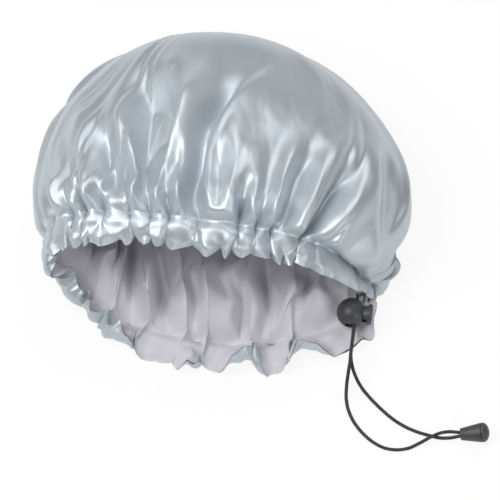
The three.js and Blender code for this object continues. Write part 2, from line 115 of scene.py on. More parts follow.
# Cords and lock
CORD_DIAMETER = 2.5
CORD_GAP = 0.3
EXIT_BEND = 5.5
EXIT_LENGTH = 1.4
STRAIGHT_RUN = 49
STRAIGHT_STEPS = 7
LOCK_YAW = -7
LOCK_PITCH = 8
LOCK_FROM_MOUTH = 18.5
BELL_AT = np.array([166, -53.4, 4.5])
BELL_TILT = 10.5
TAIL_END_X = 7.15
UPPER_TAIL = [
    (89.3, -4.5, 18.2), (88.0, -11, 12.8), (87.0, -18, 7.4), (86.9, -26, 3.3), (88.6, -34, 1.7),
    (92.4, -43, 1.5), (98.4, -51.5, 1.5), (105.6, -58.4, 1.5), (113.6, -62.8, 1.5),
    (121.7, -64, 1.5), (129.7, -62.8, 1.6), (137.7, -59.2, 2.6), (145, -55.6, 4.3),
    (151.6, -52.6, 4.6), (158, -51.4, 4.5),
]
LOWER_TAIL = [
    (90.8, -4, 14.8), (93.4, -10.5, 9.6), (98, -17.5, 5), (104.4, -24.8, 2.3), (112, -33, 1.5),
    (120, -40.6, 1.5), (128.9, -46.7, 1.5), (137.7, -50.7, 1.5), (145, -53, 1.5),
    (151.6, -54.7, 1.5), (158.2, -55.3, 2.6),
]


def linear(hex_colour):
    """Linear RGBA of an sRGB hex colour such as "b7c3cc"."""
    parts = [int(hex_colour[i:i + 2], 16) / 255 for i in (0, 2, 4)]
    return (*[p / 12.92 if p <= 0.04045 else ((p + 0.055) / 1.055) ** 2.4 for p in parts], 1.0)


def unit(vectors):
    """Vectors of length 1."""
    return vectors / np.maximum(np.linalg.norm(vectors, axis=-1, keepdims=True), 1e-9)


def smoothstep(x, low, high):
    """0 up to low, 1 from high on, and a smooth rise between."""
    t = np.clip((x - low) / (high - low), 0, 1)
    return t * t * (3 - 2 * t)


def between(x, rise, fall):
    """1 between a rise and a fall, each given by its start and end."""
    return smoothstep(x, *rise) * (1 - smoothstep(x, *fall))


def link(obj):
    """The object, put into the scene."""
    bpy.context.scene.collection.objects.link(obj)
    return obj


# Camera: from the front at the photograph's steep angle, with a long lens
VIEW_ELEVATION = math.radians(60)
VIEW_DISTANCE = 3.0
VIEW_WIDTH = 0.35
VIEW_TARGET = Vector((0.01845, -0.04799, 0.05))
SENSOR_WIDTH = 36
TO_VIEWER = np.array([0, -math.cos(VIEW_ELEVATION), math.sin(VIEW_ELEVATION)])


def add_camera():
    """Camera at the photograph's angle, with the frame's width set at the object."""
    data = bpy.data.cameras.new("camera")
    data.sensor_width = SENSOR_WIDTH
    data.lens = data.sensor_width * VIEW_DISTANCE / VIEW_WIDTH
    camera = link(bpy.data.objects.new("camera", data))
    back = Vector(TO_VIEWER)
    camera.location = VIEW_TARGET + back * VIEW_DISTANCE
    camera.rotation_euler = (-back).to_track_quat("-Z", "Y").to_euler()
    bpy.context.scene.camera = camera


# Hem curve, and places on the smooth cap
CLOSED_STEPS = 120
OPEN_STEPS = 24


def run_along(places):
    """Distance run at each of a row of places."""
    return np.concatenate([[0], np.cumsum(np.linalg.norm(np.diff(places, axis=0), axis=1))])


def spline(points, steps):
    """Centripetal spline between the second and the last but one of points, as a dense row of places."""
    pieces = []
    for p0, p1, p2, p3 in zip(points, points[1:], points[2:], points[3:]):
        gaps = [np.linalg.norm(b - a) ** 0.5 for a, b in ((p0, p1), (p1, p2), (p2, p3))]
        t0, t1, t2, t3 = np.cumsum([0] + gaps)
        t = np.linspace(t1, t2, steps, endpoint=False)[:, None]
        a1 = ((t1 - t) * p0 + (t - t0) * p1) / (t1 - t0)
        a2 = ((t2 - t) * p1 + (t - t1) * p2) / (t2 - t1)
        a3 = ((t3 - t) * p2 + (t - t2) * p3) / (t3 - t2)
        b1 = ((t2 - t) * a1 + (t - t0) * a2) / (t2 - t0)
        b2 = ((t3 - t) * a2 + (t - t1) * a3) / (t3 - t1)
        pieces.append(((t2 - t) * b1 + (t - t1) * b2) / (t2 - t1))
    return np.concatenate(pieces)


def open_curve(points, spacing=1.0):
    """Smooth row of places through points, evenly spaced, and its length."""
    points = np.asarray(points, float)
    ends = np.vstack([2 * points[0] - points[1], points, 2 * points[-1] - points[-2]])
    dense = np.vstack([spline(ends, OPEN_STEPS), points[-1:]])
    run = run_along(dense)
    even = np.linspace(0, run[-1], max(2, round(run[-1] / spacing)))
    return np.stack([np.interp(even, run, dense[:, k]) for k in range(3)], -1), run[-1]


OPENING_SIZE = np.array([OPENING_WIDTH / 2, OPENING_SETBACK, OPENING_HEIGHT])
OPENING_START = np.array([OPENING_CENTRE_X, OPENING_FRONT_Y, HEM_FLOOR])
hem_corners = HEM_ROUTE * OPENING_SIZE + OPENING_START
hem_points = spline(np.vstack([hem_corners[-1:], hem_corners, hem_corners[:2]]), CLOSED_STEPS)
hem_points = np.vstack([hem_points, hem_points[:1]])
hem_run = run_along(hem_points)
HEM_LENGTH = hem_run[-1]

lock_pitch = Matrix.Rotation(math.radians(LOCK_PITCH), 3, "X")
lock_turn = Matrix.Rotation(math.radians(LOCK_YAW), 3, "Z") @ lock_pitch
CORD_WAY = np.array(lock_turn @ Vector((0, -1, 0)))
STACK_WAY = np.array(lock_turn @ Vector((0, 0, 1)))
LOCK_X = np.array(lock_turn @ Vector((1, 0, 0)))
ALONG_STEP = 0.002
LATITUDE_LIMIT = 0.9


def hem_place(rounds):
    """Place of the drawcord at shares of the way round the hem."""
    run = np.mod(rounds, 1) * HEM_LENGTH
    return np.stack([np.interp(run, hem_run, hem_points[:, k]) for k in range(3)], -1)


def near_mouth(rounds, span):
    """1 beside the cord's mouth, falling to 0 a span away on either side."""
    away = np.minimum(np.mod(rounds, 1), 1 - np.mod(rounds, 1))
    return 1 - smoothstep(away, MOUTH_CORE * span, span)


def channel_frame(rounds):
    """The drawcord's place, the way to the hem's edge, the way outward and the way along, round the hem."""
    place = hem_place(rounds)
    along = unit(hem_place(rounds + ALONG_STEP) - hem_place(rounds - ALONG_STEP))
    across = (place[..., 0] - OPENING_CENTRE_X) / OPENING_SIZE[0]
    up = (place[..., 2] - HEM_FLOOR) / OPENING_HEIGHT
    droop = DROOP_FAR + (DROOP_NEAR - DROOP_FAR) * up
    to_edge = np.stack([FLARE * across, -np.ones_like(up), -droop], -1)
    open_share = near_mouth(rounds, MOUTH_SPAN)[..., None]
    to_edge = to_edge * (1 - open_share) + CORD_WAY * open_share
    to_edge = unit(to_edge - along * np.sum(to_edge * along, -1, keepdims=True))
    outward = np.cross(along, to_edge)
    centre = OPENING_START + np.array([0, OPENING_SETBACK / 2, OPENING_HEIGHT / 2])
    outward *= np.sign(np.sum(outward * (place - centre), -1, keepdims=True))
    return place, to_edge, outward, along


def dome_place(angle, latitude):
    """Places on the round crown, by angle round the opening's axis and latitude toward the crown's end."""
    ring = np.maximum(np.cos(latitude), 0)
    to_crown = np.maximum(np.sin(latitude), 0)
    rise = np.sin(angle)
    centre_z = DOME_CENTRE_Z - CROWN_SAG * to_crown ** 2
    above = (CAP_HEIGHT - DOME_CENTRE_Z) * ring * rise
    below = -(centre_z + UNDERSIDE_PRESS) * ring ** UNDERSIDE_RING_POWER
    below = below * np.abs(rise) ** UNDERSIDE_SIDE_POWER
    return np.stack([
        CAP_WIDTH / 2 * ring * np.cos(angle) - CROWN_LEAN * to_crown,
        DOME_CENTRE_Y + DOME_HALF_DEPTH * np.sin(latitude),
        np.maximum(centre_z + np.where(rise > 0, above, below), LYING_HEIGHT),
    ], -1)


def crown_place(rounds, share):
    """Places on the smooth cap, from the channel's stitching (share 0) to the crown's end (share 1)."""
    place, to_edge, _, _ = channel_frame(rounds)
    stitch = place - to_edge * CHANNEL_WIDTH / 2
    angle = np.arctan2((stitch[..., 2] - DOME_CENTRE_Z) / (CAP_HEIGHT / 2), stitch[..., 0] / (CAP_WIDTH / 2))
    depth = (stitch[..., 1] - DOME_CENTRE_Y) / DOME_HALF_DEPTH
    start = np.arcsin(np.clip(depth, -LATITUDE_LIMIT, LATITUDE_LIMIT))
    drawn = np.maximum(0, 1 - share / DRAW_IN) ** 2
    offset = (stitch - dome_place(angle, start)) * np.asarray(drawn)[..., None]
    part = share / SHOULDER_AT
    bulge = near_mouth(rounds, SHOULDER_SPAN) * part * np.exp(1 - part)
    on_dome = dome_place(angle, start + (math.pi / 2 - start) * share)
    return on_dome + offset + bulge[..., None] * SHOULDER


# How the cloth is shared out round the hem: turns of the cut disc against places round the hem
def flat_share(rounds):
    """1 on the stretch of hem with few gathers, beside the cord lock."""
    return between(rounds, FLAT_RISE, FLAT_FALL)


def lively(rounds):
    """How freely the hem puckers: little beside the cord lock and on the stretch with few gathers."""
    return (1 - near_mouth(rounds, CALM_SPANS * MOUTH_SPAN)) * (1 - FLAT_CALM * flat_share(rounds))


def gather_share():
    """Places round the hem, and the turns of the cut disc that come to each."""
    rounds = np.linspace(0, 1, GATHER_SAMPLES)
    density = 1 - (1 - FLAT_GATHER) * flat_share(rounds)
    density *= 1 + sum(depth * np.sin(TURN * waves * rounds + phase) for waves, depth, phase in GATHER_WAVES)
    turns = np.concatenate([[0], np.cumsum((density[1:] + density[:-1]) / 2)])
    turns /= turns[-1]
    return rounds, turns


gather_rounds, gather_turns = gather_share()


def hem_round(turns):
    """Place round the hem of each turn of the cut disc."""
    return np.interp(turns, gather_turns, gather_rounds)


def column_round(turns, share):
    """Place round the hem of a column of the cloth, from its gathers to an even spread at the crown."""
    even = smoothstep(share, *EVEN_SPREAD)
    return hem_round(turns) * (1 - even) + turns * even


# Folds
VALLEY_SOFT = 0.005
SKEW = 0.16
FOLD_WIDTHS = (0.55, 1.5)
TABLE_END = 0.9999  # just short of a noise table's last row


class Folds:
    """Uneven folds side by side round the cap: each has its own width, height, length and skew."""

    def __init__(self, count, heights, ends, sharpest=0.8):
        widths = rng.uniform(*FOLD_WIDTHS, count)
        self.edges = np.concatenate([[0], np.cumsum(widths)]) / widths.sum()
        self.heights = rng.uniform(*heights, count)
        self.ends = rng.uniform(*ends, count)
        self.skews = rng.uniform(-SKEW, SKEW, count)
        self.peaks = rng.uniform(0, sharpest, count)

    def at(self, turns):
        """At each turn: the ridge (0 in a narrow valley, 1 on a round top), part of the fold, its number."""
        turns = np.mod(turns, 1)
        number = np.clip(np.searchsorted(self.edges, turns, side="right") - 1, 0, len(self.heights) - 1)
        part = (turns - self.edges[number]) / np.diff(self.edges)[number]
        part = part + self.skews[number] * np.sin(math.pi * part) ** 2
        round_top = np.sqrt(np.sin(math.pi * part) ** 2 + VALLEY_SOFT) - math.sqrt(VALLEY_SOFT)
        sharp_top = 1 - np.sqrt(np.cos(math.pi * part) ** 2 + VALLEY_SOFT)
        ridge = round_top + (sharp_top - round_top) * self.peaks[number]
        return ridge, part, number

    def eased(self, values, turns):
        """One value for each fold, passing smoothly from fold to fold."""
        middles = (self.edges[1:] + self.edges[:-1]) / 2
        around = np.concatenate([middles - 1, middles, middles + 1])
        return np.interp(np.mod(turns, 1), around, np.tile(values, 3))


class Creases:
    """Wandering creases: noise stretched along the folds, whose zero lines are the valleys."""

    def __init__(self, rows, count):
        self.table = rng.uniform(-1, 1, (rows, count))

    def at(self, turns, along):
        """Noise between -1 and 1; turns run round the table, along runs over its rows from 0 to 1."""
        rows, count = self.table.shape
        x, y = np.broadcast_arrays(np.mod(turns, 1) * count, np.clip(along, 0, TABLE_END) * (rows - 1))
        column, row = x.astype(int) % count, y.astype(int)
        ahead = (column + 1) % count
        x, y = smoothstep(x - np.floor(x), 0, 1), smoothstep(y - np.floor(y), 0, 1)
        low = self.table[row, column] * (1 - x) + self.table[row, ahead] * x
        high = self.table[row + 1, column] * (1 - x) + self.table[row + 1, ahead] * x
        return low * (1 - y) + high * y

    def ridges(self, turns, along):
        """The noise folded up at its zero lines, which become narrow valleys."""
        return np.sqrt(self.at(turns, along) ** 2 + VALLEY_SOFT / 4)


PUCKERS = 36
hem_folds = Folds(PUCKERS, (0.55, 1.25), (0.6, 1.4), 0.25)
hem_tilts = rng.uniform(-1, 1, PUCKERS)
hem_slants = rng.uniform(-1, 1, PUCKERS)
hem_drops = rng.uniform(-1, 1, PUCKERS)
hem_leans = rng.uniform(-1, 1, PUCKERS)
tips = Creases(3, 16)
hem_rolls = rng.uniform(0.0, 0.6, PUCKERS)
far_folds = Folds(20, (0.4, 1.6), (1, 1))
edge_folds = Folds(47, (0.3, 1.4), (1, 1))
small_lobes = Folds(83, (0.0, 1.3), (1, 1))
crumple = Creases(4, 120)
warp = Creases(3, 8)
fine_creases = Creases(4, 96)
drape_creases = Creases(3, 40)
swell_noise = Creases(3, 11)
lining_creases = Creases(3, 34)
drapes = Folds(26, (0.2, 1.3), (0.6, 1.4))
swells = Folds(9, (0.3, 1.2), (0.8, 1.2))
lining_folds = Folds(23, (0.25, 1.2), (0.7, 1.3))

# Folds: heights and widths in millimetres, and factors
MEANDER = 4.8
PUFF = 5.0
SMALL_LOBE = 1.8
CRUMPLE = 3.2
GATHER_HEIGHT = 5.5
FINE_HEIGHT = 3.2
DRAPE_HEIGHT = 11.0
DRAPE_CREASE = 5.0
SWELL_HEIGHT = 7.0
SWELL_NOISE = 4.0
SINK = 5.0
CROWN_FULL = 4.0
SATIN_LAID = 1.35
LINING_LAID = 1.7
VALLEY_DEPTH = 1.4
CREST_RADIUS = 3.2
BODY_WIDTH = 2.0
LEAN = 4.0
TIP = 0.6
LAID_SHARE = 0.85  # how far the laid folds take the place of the even ones
LINING_INSET = 9.0
LINING_HEIGHT = 6.0
LINING_CREASE = 2.0
TILT = 2.2
SLANT = 8.0
DROP = 2.0
BULGE_OVER = 0.19
FOLD_LEAN = 0.05
LAYER_OFFSET = 0.35
CORD_CLEARANCE = 0.5
CORD_ROOM = CORD_DIAMETER / 2 + CORD_CLEARANCE

# Where each kind of fold rises and falls away, as shares of the way from the hem to the crown's end
GATHER_RISE, GATHER_FALL = (0, 0.04), (0.1, 0.36)
DRAPE_RISE, DRAPE_FALL = (0.02, 0.12), (0.3, 0.85)
SWELL_RISE, SWELL_FALL = (0.12, 0.4), (0.6, 0.98)
CREASE_RISE, CREASE_FALL = (0.04, 0.15), (0.5, 0.9)
NOISE_RISE, NOISE_FALL = (0.15, 0.4), (0.8, 0.99)
FINE_RISE, FINE_FALL = (0.01, 0.06), (0.2, 0.5)
SINK_RISE, SINK_FALL = (0.03, 0.15), (0.6, 0.95)
LINING_RISE, LINING_FALL, LINING_CREASE_FALL = (0, 0.1), (0.5, 0.9), (0.6, 0.95)
INSET_RISE, INSET_FALL = (0, 0.08), (0.9, 1)
LAID_RISE, LAID_OVER = (0, 0.03), (0.06, 0.2)
CROWN_CALM, CROWN_RISE = (0.7, 0.97), (0.45, 0.9)
MEANDER_FALL, LONG_FALL, SLIDE_FALL = (0, 0.1), (0.05, 0.5), (0, 0.06)
TIP_RISE = (0.08, 0.2)

# How much of each kind of fold the stretch with few gathers loses
GATHER_FLAT, DRAPE_FLAT, CREASE_FLAT, FINE_FLAT = 0.7, 0.6, 0.7, 0.8

# How the folds wander and lean on their way to the crown, in turns
WANDER, WANDER_WAVES, WANDER_TWIST, WANDER_RISE = 0.008, 3, 1.3, (0, 0.4)
LEAN_EASE, LEAN_EASE_SPAN = 0.5, (0.5, 1)
WARP, WARP_RISE = 0.012, (0.02, 0.4)
GATHER_FOLLOW, LINING_FOLLOW = 0.4, 0.6

# Sides of the cap: cloth that faces the viewer or faces up, and the near half of the turns
NEAR_FACING, UP_FACING, NEAR_TURNS = (0.1, 0.6), (0, 0.35), (0.48, 0.58)
SATIN_LEAST, LINING_MOST = 0.8, 0.15  # shares of the inset that keep the panels apart

# Hem's channel: how its two panels join, and where its far side begins and ends round the hem
NEAR_REACH = 0.8
JOINED_SPAN, CHANGE_SPAN = (0.4, 1.0), (0.15, 0.95)
INNER_LOBE = 0.8
CRUMPLE_SLANT = 0.01
EDGE_LIMIT = 4
FAR_START, FAR_END = (0.45, 0.52), (0.92, 0.97)
END_SPAN, END_CUT = (0.925, 0.95), 0.6  # the channel's edge is short at its end, under the lock

# Laid folds: how they start and end along a line, and how fully cloth turned to the viewer takes them
LINE_START, LINE_END, LINE_FACING = (-0.1, 0.1), (0.55, 1), (0.05, 0.35)
LINE_SPACING, BLUR_PASSES = 3, 3

# Main folds of the satin, as the eye follows them from the hem up: height, width to the left and to the
# right of the line in millimetres, then places on the line across the picture, 500 units wide and 350 mm
PICTURE_UNIT = 0.7
PICTURE_ZERO = (222, 370)
SATIN_LINES = [
    (6, 12, 6, [(97, 205), (90, 170), (84, 132), (81, 102), (95, 78)]),
    (-5, 3, 4, [(120, 195), (112, 170), (102, 137), (95, 115)]),
    (9, 5, 3, [(132, 205), (140, 180), (135, 155), (126, 130), (124, 107), (126, 72)]),
    (-6, 2.5, 8, [(147, 195), (144, 145), (145, 115), (137, 82), (130, 60)]),
    (8, 4, 4, [(157, 205), (166, 170), (180, 137), (192, 115), (192, 82), (185, 45)]),
    (-5, 2, 3, [(170, 205), (177, 160), (190, 130)]),
    (10, 6, 3.5, [(180, 207), (186, 170), (196, 132), (202, 102), (207, 65), (215, 38)]),
    (-10, 4, 3, [(191, 207), (197, 170), (204, 140), (210, 120), (227, 96), (250, 72)]),
    (8, 2, 16, [(209, 210), (208, 170), (208, 132), (220, 112), (255, 82), (290, 52)]),
    (-5, 3, 3, [(220, 207), (221, 160), (228, 134)]),
    (5, 4, 8, [(230, 210), (231, 170), (237, 140), (258, 112)]),
    (-5, 2, 3, [(240, 222), (241, 190), (246, 170)]),
    (4, 6, 6, [(250, 218), (252, 170), (264, 128)]),
    (6, 4, 3, [(270, 224), (273, 205), (292, 160), (312, 132)]),
    (-6, 3, 6, [(282, 230), (290, 195), (307, 162), (328, 136)]),
    (10, 8, 5, [(290, 240), (310, 195), (327, 162), (340, 149), (364, 156)]),
    (-7, 3, 4, [(297, 245), (325, 205), (352, 172), (364, 160)]),
    (9, 4, 12, [(307, 248), (337, 210), (365, 182), (374, 166)]),
    (7, 16, 1.6, [(371, 262), (374, 195), (379, 150), (377, 118)]),
    (-5, 3, 4, [(57, 240), (55, 210), (49, 190)]),
    (6, 6, 5, [(72, 232), (77, 205), (72, 180), (60, 125)]),
    (-5, 3, 3, [(86, 208), (77, 180), (66, 138)]),
    (4, 8, 8, [(170, 108), (170, 70), (180, 40)]),
    (-5, 8, 8, [(160, 138), (162, 95), (160, 60)]),
]
LINING_LINES = [
    (5, 9, 1.5, [(84, 305), (92, 275), (102, 245)]),
    (6, 8, 1.5, [(107, 310), (109, 292), (113, 270), (117, 249)]),
    (8, 4, 2, [(157, 335), (151, 320), (149, 312), (155, 280), (157, 247)]),
    (-6, 3, 3, [(157, 340), (162, 305), (180, 280), (202, 252)]),
    (6, 5, 5, [(180, 350), (182, 330), (192, 287), (210, 252)]),
    (9, 1.5, 14, [(195, 355), (202, 330), (210, 295), (222, 250)]),
    (8, 10, 1.5, [(222, 345), (240, 312), (243, 295), (248, 257)]),
    (-6, 3, 2, [(242, 340), (243, 300), (247, 280)]),
    (8, 5, 2, [(270, 360), (270, 340), (277, 305), (280, 272)]),
    (-6, 2, 2, [(265, 345), (268, 320), (270, 292), (266, 257)]),
    (7, 2, 7, [(275, 345), (290, 310), (305, 282)]),
    (6, 2, 6, [(303, 335), (317, 310), (328, 287)]),
    (5, 2, 5, [(315, 335), (328, 315), (338, 302)]),
]

# How far the far side of the hem rolls over inward, in radians, by place across the picture
FAR_ROLLS = [
    (30, 0.8), (45, 1.6), (62, 2.3), (80, 2.5), (95, 2.2), (107, 1.6), (118, 2.6), (132, 2.0), (148, 0.1),
    (160, -0.2), (178, 0.0), (191, 1.6), (204, 0.0), (218, -0.1), (232, 2.0), (245, 2.4), (255, 1.6),
    (268, 0.0), (280, -0.2), (291, 1.4), (303, 2.3), (315, 1.8), (328, 0.3), (338, 0.2), (352, 0.2),
    (400, 0.2),
]


def picture_place(points):
    """Places across and down the picture."""
    back = np.sin(VIEW_ELEVATION) * points[..., 1] + np.cos(VIEW_ELEVATION) * points[..., 2]
    across = PICTURE_ZERO[0] + points[..., 0] / PICTURE_UNIT
    return np.stack([across, PICTURE_ZERO[1] - back / PICTURE_UNIT], -1)


def laid_folds(lines, rows, outward):
    """Lift of the folds laid along lines, on the cloth that faces the viewer."""
    facing = outward @ TO_VIEWER
    shown = np.flatnonzero(facing.ravel() > 0)
    places = picture_place(rows).reshape(-1, 2)[shown]
    total = np.zeros(len(shown))
    for height, left, right, line in lines:
        dense, _ = open_curve([(*place, 0) for place in line], LINE_SPACING)
        dense = dense[:, :2]
        apart = np.linalg.norm(places[:, None] - dense, axis=-1)
        nearest = apart.argmin(1)
        way = np.gradient(dense, axis=0)[nearest]
        off = places - dense[nearest]
        to_right = off[:, 0] * -way[:, 1] + off[:, 1] * way[:, 0] > 0
        width = np.where(to_right, right, left)
        part = nearest / (len(dense) - 1)
        fade = between(part, LINE_START, LINE_END)
        distance = apart.min(1) * PICTURE_UNIT
        crest = np.exp((CREST_RADIUS - np.hypot(distance, CREST_RADIUS)) / width)
        body = np.exp(-(distance / (BODY_WIDTH * width)) ** 2)
        total += (height if height > 0 else VALLEY_DEPTH * height) * fade * (crest + body) / 2
    lift = np.zeros(facing.size)
    lift[shown] = total * smoothstep(facing.ravel()[shown], *LINE_FACING)
    lift = lift.reshape(facing.shape)
    for _ in range(BLUR_PASSES):
        lift = (np.roll(lift, 1, 1) + 2 * lift + np.roll(lift, -1, 1)) / 4
        lift[1:-1] = (lift[:-2] + 2 * lift[1:-1] + lift[2:]) / 4
    return lift


def cloth_grid():
    """The cloth without folds, row by row from crown to hem, with the ways outward and along."""
    columns = np.arange(COLUMNS) / COLUMNS
    dense = np.linspace(0, 1, GRID_SAMPLES)
    lines = np.stack([crown_place(column_round(columns, share), share) for share in dense])
    steps = np.linalg.norm(np.diff(lines, axis=0), axis=-1)
    lengths = steps.sum(0)
    runs = np.vstack([np.zeros((1, COLUMNS)), np.cumsum(steps, 0)]) / lengths
    length = float(lengths.mean())

    fine_run = FINE_ROWS * FINE_STEP
    coarse = np.linspace(fine_run, length, round((length - fine_run) / COARSE_STEP))
    shares = np.concatenate([np.arange(FINE_ROWS) * FINE_STEP, coarse[:-1]])[::-1] / length
    rows = []
    for share in shares:
        picks = np.array([np.interp(share, runs[:, i], dense) for i in range(COLUMNS)])
        rows.append(crown_place(column_round(columns, picks), picks))
    rows = np.array(rows)
    around = np.roll(rows, -2, 1) - np.roll(rows, 2, 1)
    outward = unit(np.cross(around, np.gradient(rows, axis=0)))
    middle = np.array([0, DOME_CENTRE_Y, DOME_CENTRE_Z])
    outward *= np.sign(np.sum(outward * (rows - middle), -1, keepdims=True))
    return {"columns": columns, "shares": shares, "rows": rows, "outward": outward, "along": unit(around),
            "length": length}


def fold_lift(folds, turns, height):
    """Lift of a row of folds, and how far toward the crown each of them reaches."""
    ridge, _, number = folds.at(turns)
    return height * folds.heights[number] * ridge, folds.ends[number]


def satin_lift(grid, leaning, flat, near_side, inset):
    """Lift of the satin off the smooth cap: gathers, drapes and swells, then the folds laid along lines."""
    columns, share = grid["columns"], grid["shares"][:, None]
    gather, ends = fold_lift(hem_folds, columns + GATHER_FOLLOW * (leaning - columns), GATHER_HEIGHT)
    gather = gather * (1 - GATHER_FLAT * flat)
    lift = gather * smoothstep(share, *GATHER_RISE) * (1 - smoothstep(share / ends, *GATHER_FALL))
    drape, ends = fold_lift(drapes, leaning, DRAPE_HEIGHT)
    drape = drape * (1 - DRAPE_FLAT * flat)
    lift = lift + drape * smoothstep(share, *DRAPE_RISE) * (1 - smoothstep(share / ends, *DRAPE_FALL))
    swell, _ = fold_lift(swells, leaning, SWELL_HEIGHT)
    lift = lift + swell * between(share, SWELL_RISE, SWELL_FALL)
    crease = DRAPE_CREASE * drape_creases.ridges(leaning, share) * (1 - CREASE_FLAT * flat)
    lift = lift + crease * between(share, CREASE_RISE, CREASE_FALL)
    lift = lift + SWELL_NOISE * swell_noise.at(leaning, share) * between(share, NOISE_RISE, NOISE_FALL)
    upper = smoothstep(grid["outward"][..., 2], *UP_FACING) * (1 - smoothstep(columns, *NEAR_TURNS))
    lift = lift * (1 - LAID_SHARE * upper * smoothstep(share, *LAID_OVER))
    lift = lift * (1 - smoothstep(share, *CROWN_CALM))
    laid = SATIN_LAID * laid_folds(SATIN_LINES, grid["rows"], grid["outward"])
    lift = lift + laid * smoothstep(share, *LAID_RISE)
    fine = FINE_HEIGHT * fine_creases.ridges(leaning, share) * (1 - FINE_FLAT * flat)
    lift = lift + fine * between(share, FINE_RISE, FINE_FALL)
    lift = lift + LAYER_OFFSET - SINK * between(share, SINK_RISE, SINK_FALL) * near_side
    lift = np.maximum(lift, LAYER_OFFSET - SATIN_LEAST * inset * near_side)
    return lift + CROWN_FULL * smoothstep(share, *CROWN_RISE)


def lining_lift(grid, leaning, inset):
    """Lift of the lining, inward of the smooth cap all over: folds of its own and those along lines."""
    columns, share = grid["columns"], grid["shares"][:, None]
    fold, ends = fold_lift(lining_folds, columns + LINING_FOLLOW * (leaning - columns), LINING_HEIGHT)
    fold = fold * smoothstep(share, *LINING_RISE) * (1 - smoothstep(share / ends, *LINING_FALL))
    crease = LINING_CREASE * lining_creases.ridges(leaning, share)
    crease = crease * between(share, LINING_RISE, LINING_CREASE_FALL)
    laid = LINING_LAID * laid_folds(LINING_LINES, grid["rows"], -grid["outward"])
    lift = -LAYER_OFFSET - inset - fold - crease - laid * smoothstep(share, *LAID_RISE)
    return np.minimum(lift, -LAYER_OFFSET - LINING_MOST * inset)


def crown_layer(grid, side):
    """One panel between the crown and the channel's stitching: its folds over the gathers of the hem."""
    columns, share = grid["columns"], grid["shares"][:, None]
    rounds = hem_round(columns)
    flat, calm, far = flat_share(rounds), lively(rounds), far_side(rounds)
    ridge, part, number = hem_folds.at(columns)
    far_ridge, far_part, far_number = far_folds.at(columns)
    pucker = hem_folds.heights[number] * (2 * ridge - 1) * (1 - far) * (1 - smoothstep(share, *MEANDER_FALL))
    long_fold = far_folds.heights[far_number] * (2 * far_ridge - 1) * far
    long_fold = long_fold * (1 - smoothstep(share, *LONG_FALL))
    meander = MEANDER * (pucker + long_fold) * calm
    wander = WANDER * np.sin(TURN * (WANDER_WAVES * columns + WANDER_TWIST * share))
    wander = wander * smoothstep(share, *WANDER_RISE)
    leaning = columns + wander + FOLD_LEAN * share * (1 - LEAN_EASE * smoothstep(share, *LEAN_EASE_SPAN))
    leaning = leaning + WARP * warp.at(columns, share) * smoothstep(share, *WARP_RISE)
    near_side = smoothstep(grid["outward"] @ TO_VIEWER, *NEAR_FACING) * (1 - smoothstep(columns, *NEAR_TURNS))
    inset = LINING_INSET * (1 + near_side) * between(share, INSET_RISE, INSET_FALL)
    if side > 0:
        lift = satin_lift(grid, leaning, flat, near_side, inset)
    else:
        lift = lining_lift(grid, leaning, inset)
    bulge = np.sin(TURN * part) * np.diff(hem_folds.edges)[number] * (1 - far)
    bulge = bulge + np.sin(TURN * far_part) * np.diff(far_folds.edges)[far_number] * far
    slide = -BULGE_OVER / 2 * bulge * HEM_LENGTH * calm * (1 - smoothstep(share, *SLIDE_FALL))
    slide = slide + TIP * tips.at(columns, share) * lift * smoothstep(share, *TIP_RISE) * calm
    return grid["rows"] + grid["outward"] * (meander + lift)[..., None] + grid["along"] * slide[..., None]


def far_side(rounds):
    """1 on the side of the hem that lies on the floor, 0 on the near side over the opening."""
    return between(rounds, FAR_START, FAR_END)


def hem_roll(rounds, place):
    """Turn of the hem's edge about the cord: slight on the near side, as laid down on the far side."""
    calm = 1 - near_mouth(rounds, ROLL_SPANS * MOUTH_SPAN)
    turns = np.interp(np.mod(rounds, 1), gather_rounds, gather_turns)
    across = picture_place(place)[..., 0]
    laid = np.interp(across, [x for x, _ in FAR_ROLLS], [roll for _, roll in FAR_ROLLS])
    far = far_side(rounds)
    return calm * (hem_folds.eased(hem_rolls, turns) * (1 - far) + laid * far)


def rolled(roll, over, reach):
    """Place of the channel's middle toward the edge and inward, and its turn, at a share over its width."""
    bend = roll * over
    length = CHANNEL_WIDTH * np.where(over > 0.5, 0.5 + (over - 0.5) * reach, over)
    to_front = length * np.sinc(bend / math.pi) - CHANNEL_WIDTH / 2
    inward = length * np.sin(bend / 2) * np.sinc(bend / TURN)
    return to_front, inward, bend


def fold_measures(folds, columns):
    """Ridge, part, height and width of the fold at each column."""
    ridge, part, number = folds.at(columns)
    return ridge, part, folds.heights[number], np.diff(folds.edges)[number] * HEM_LENGTH


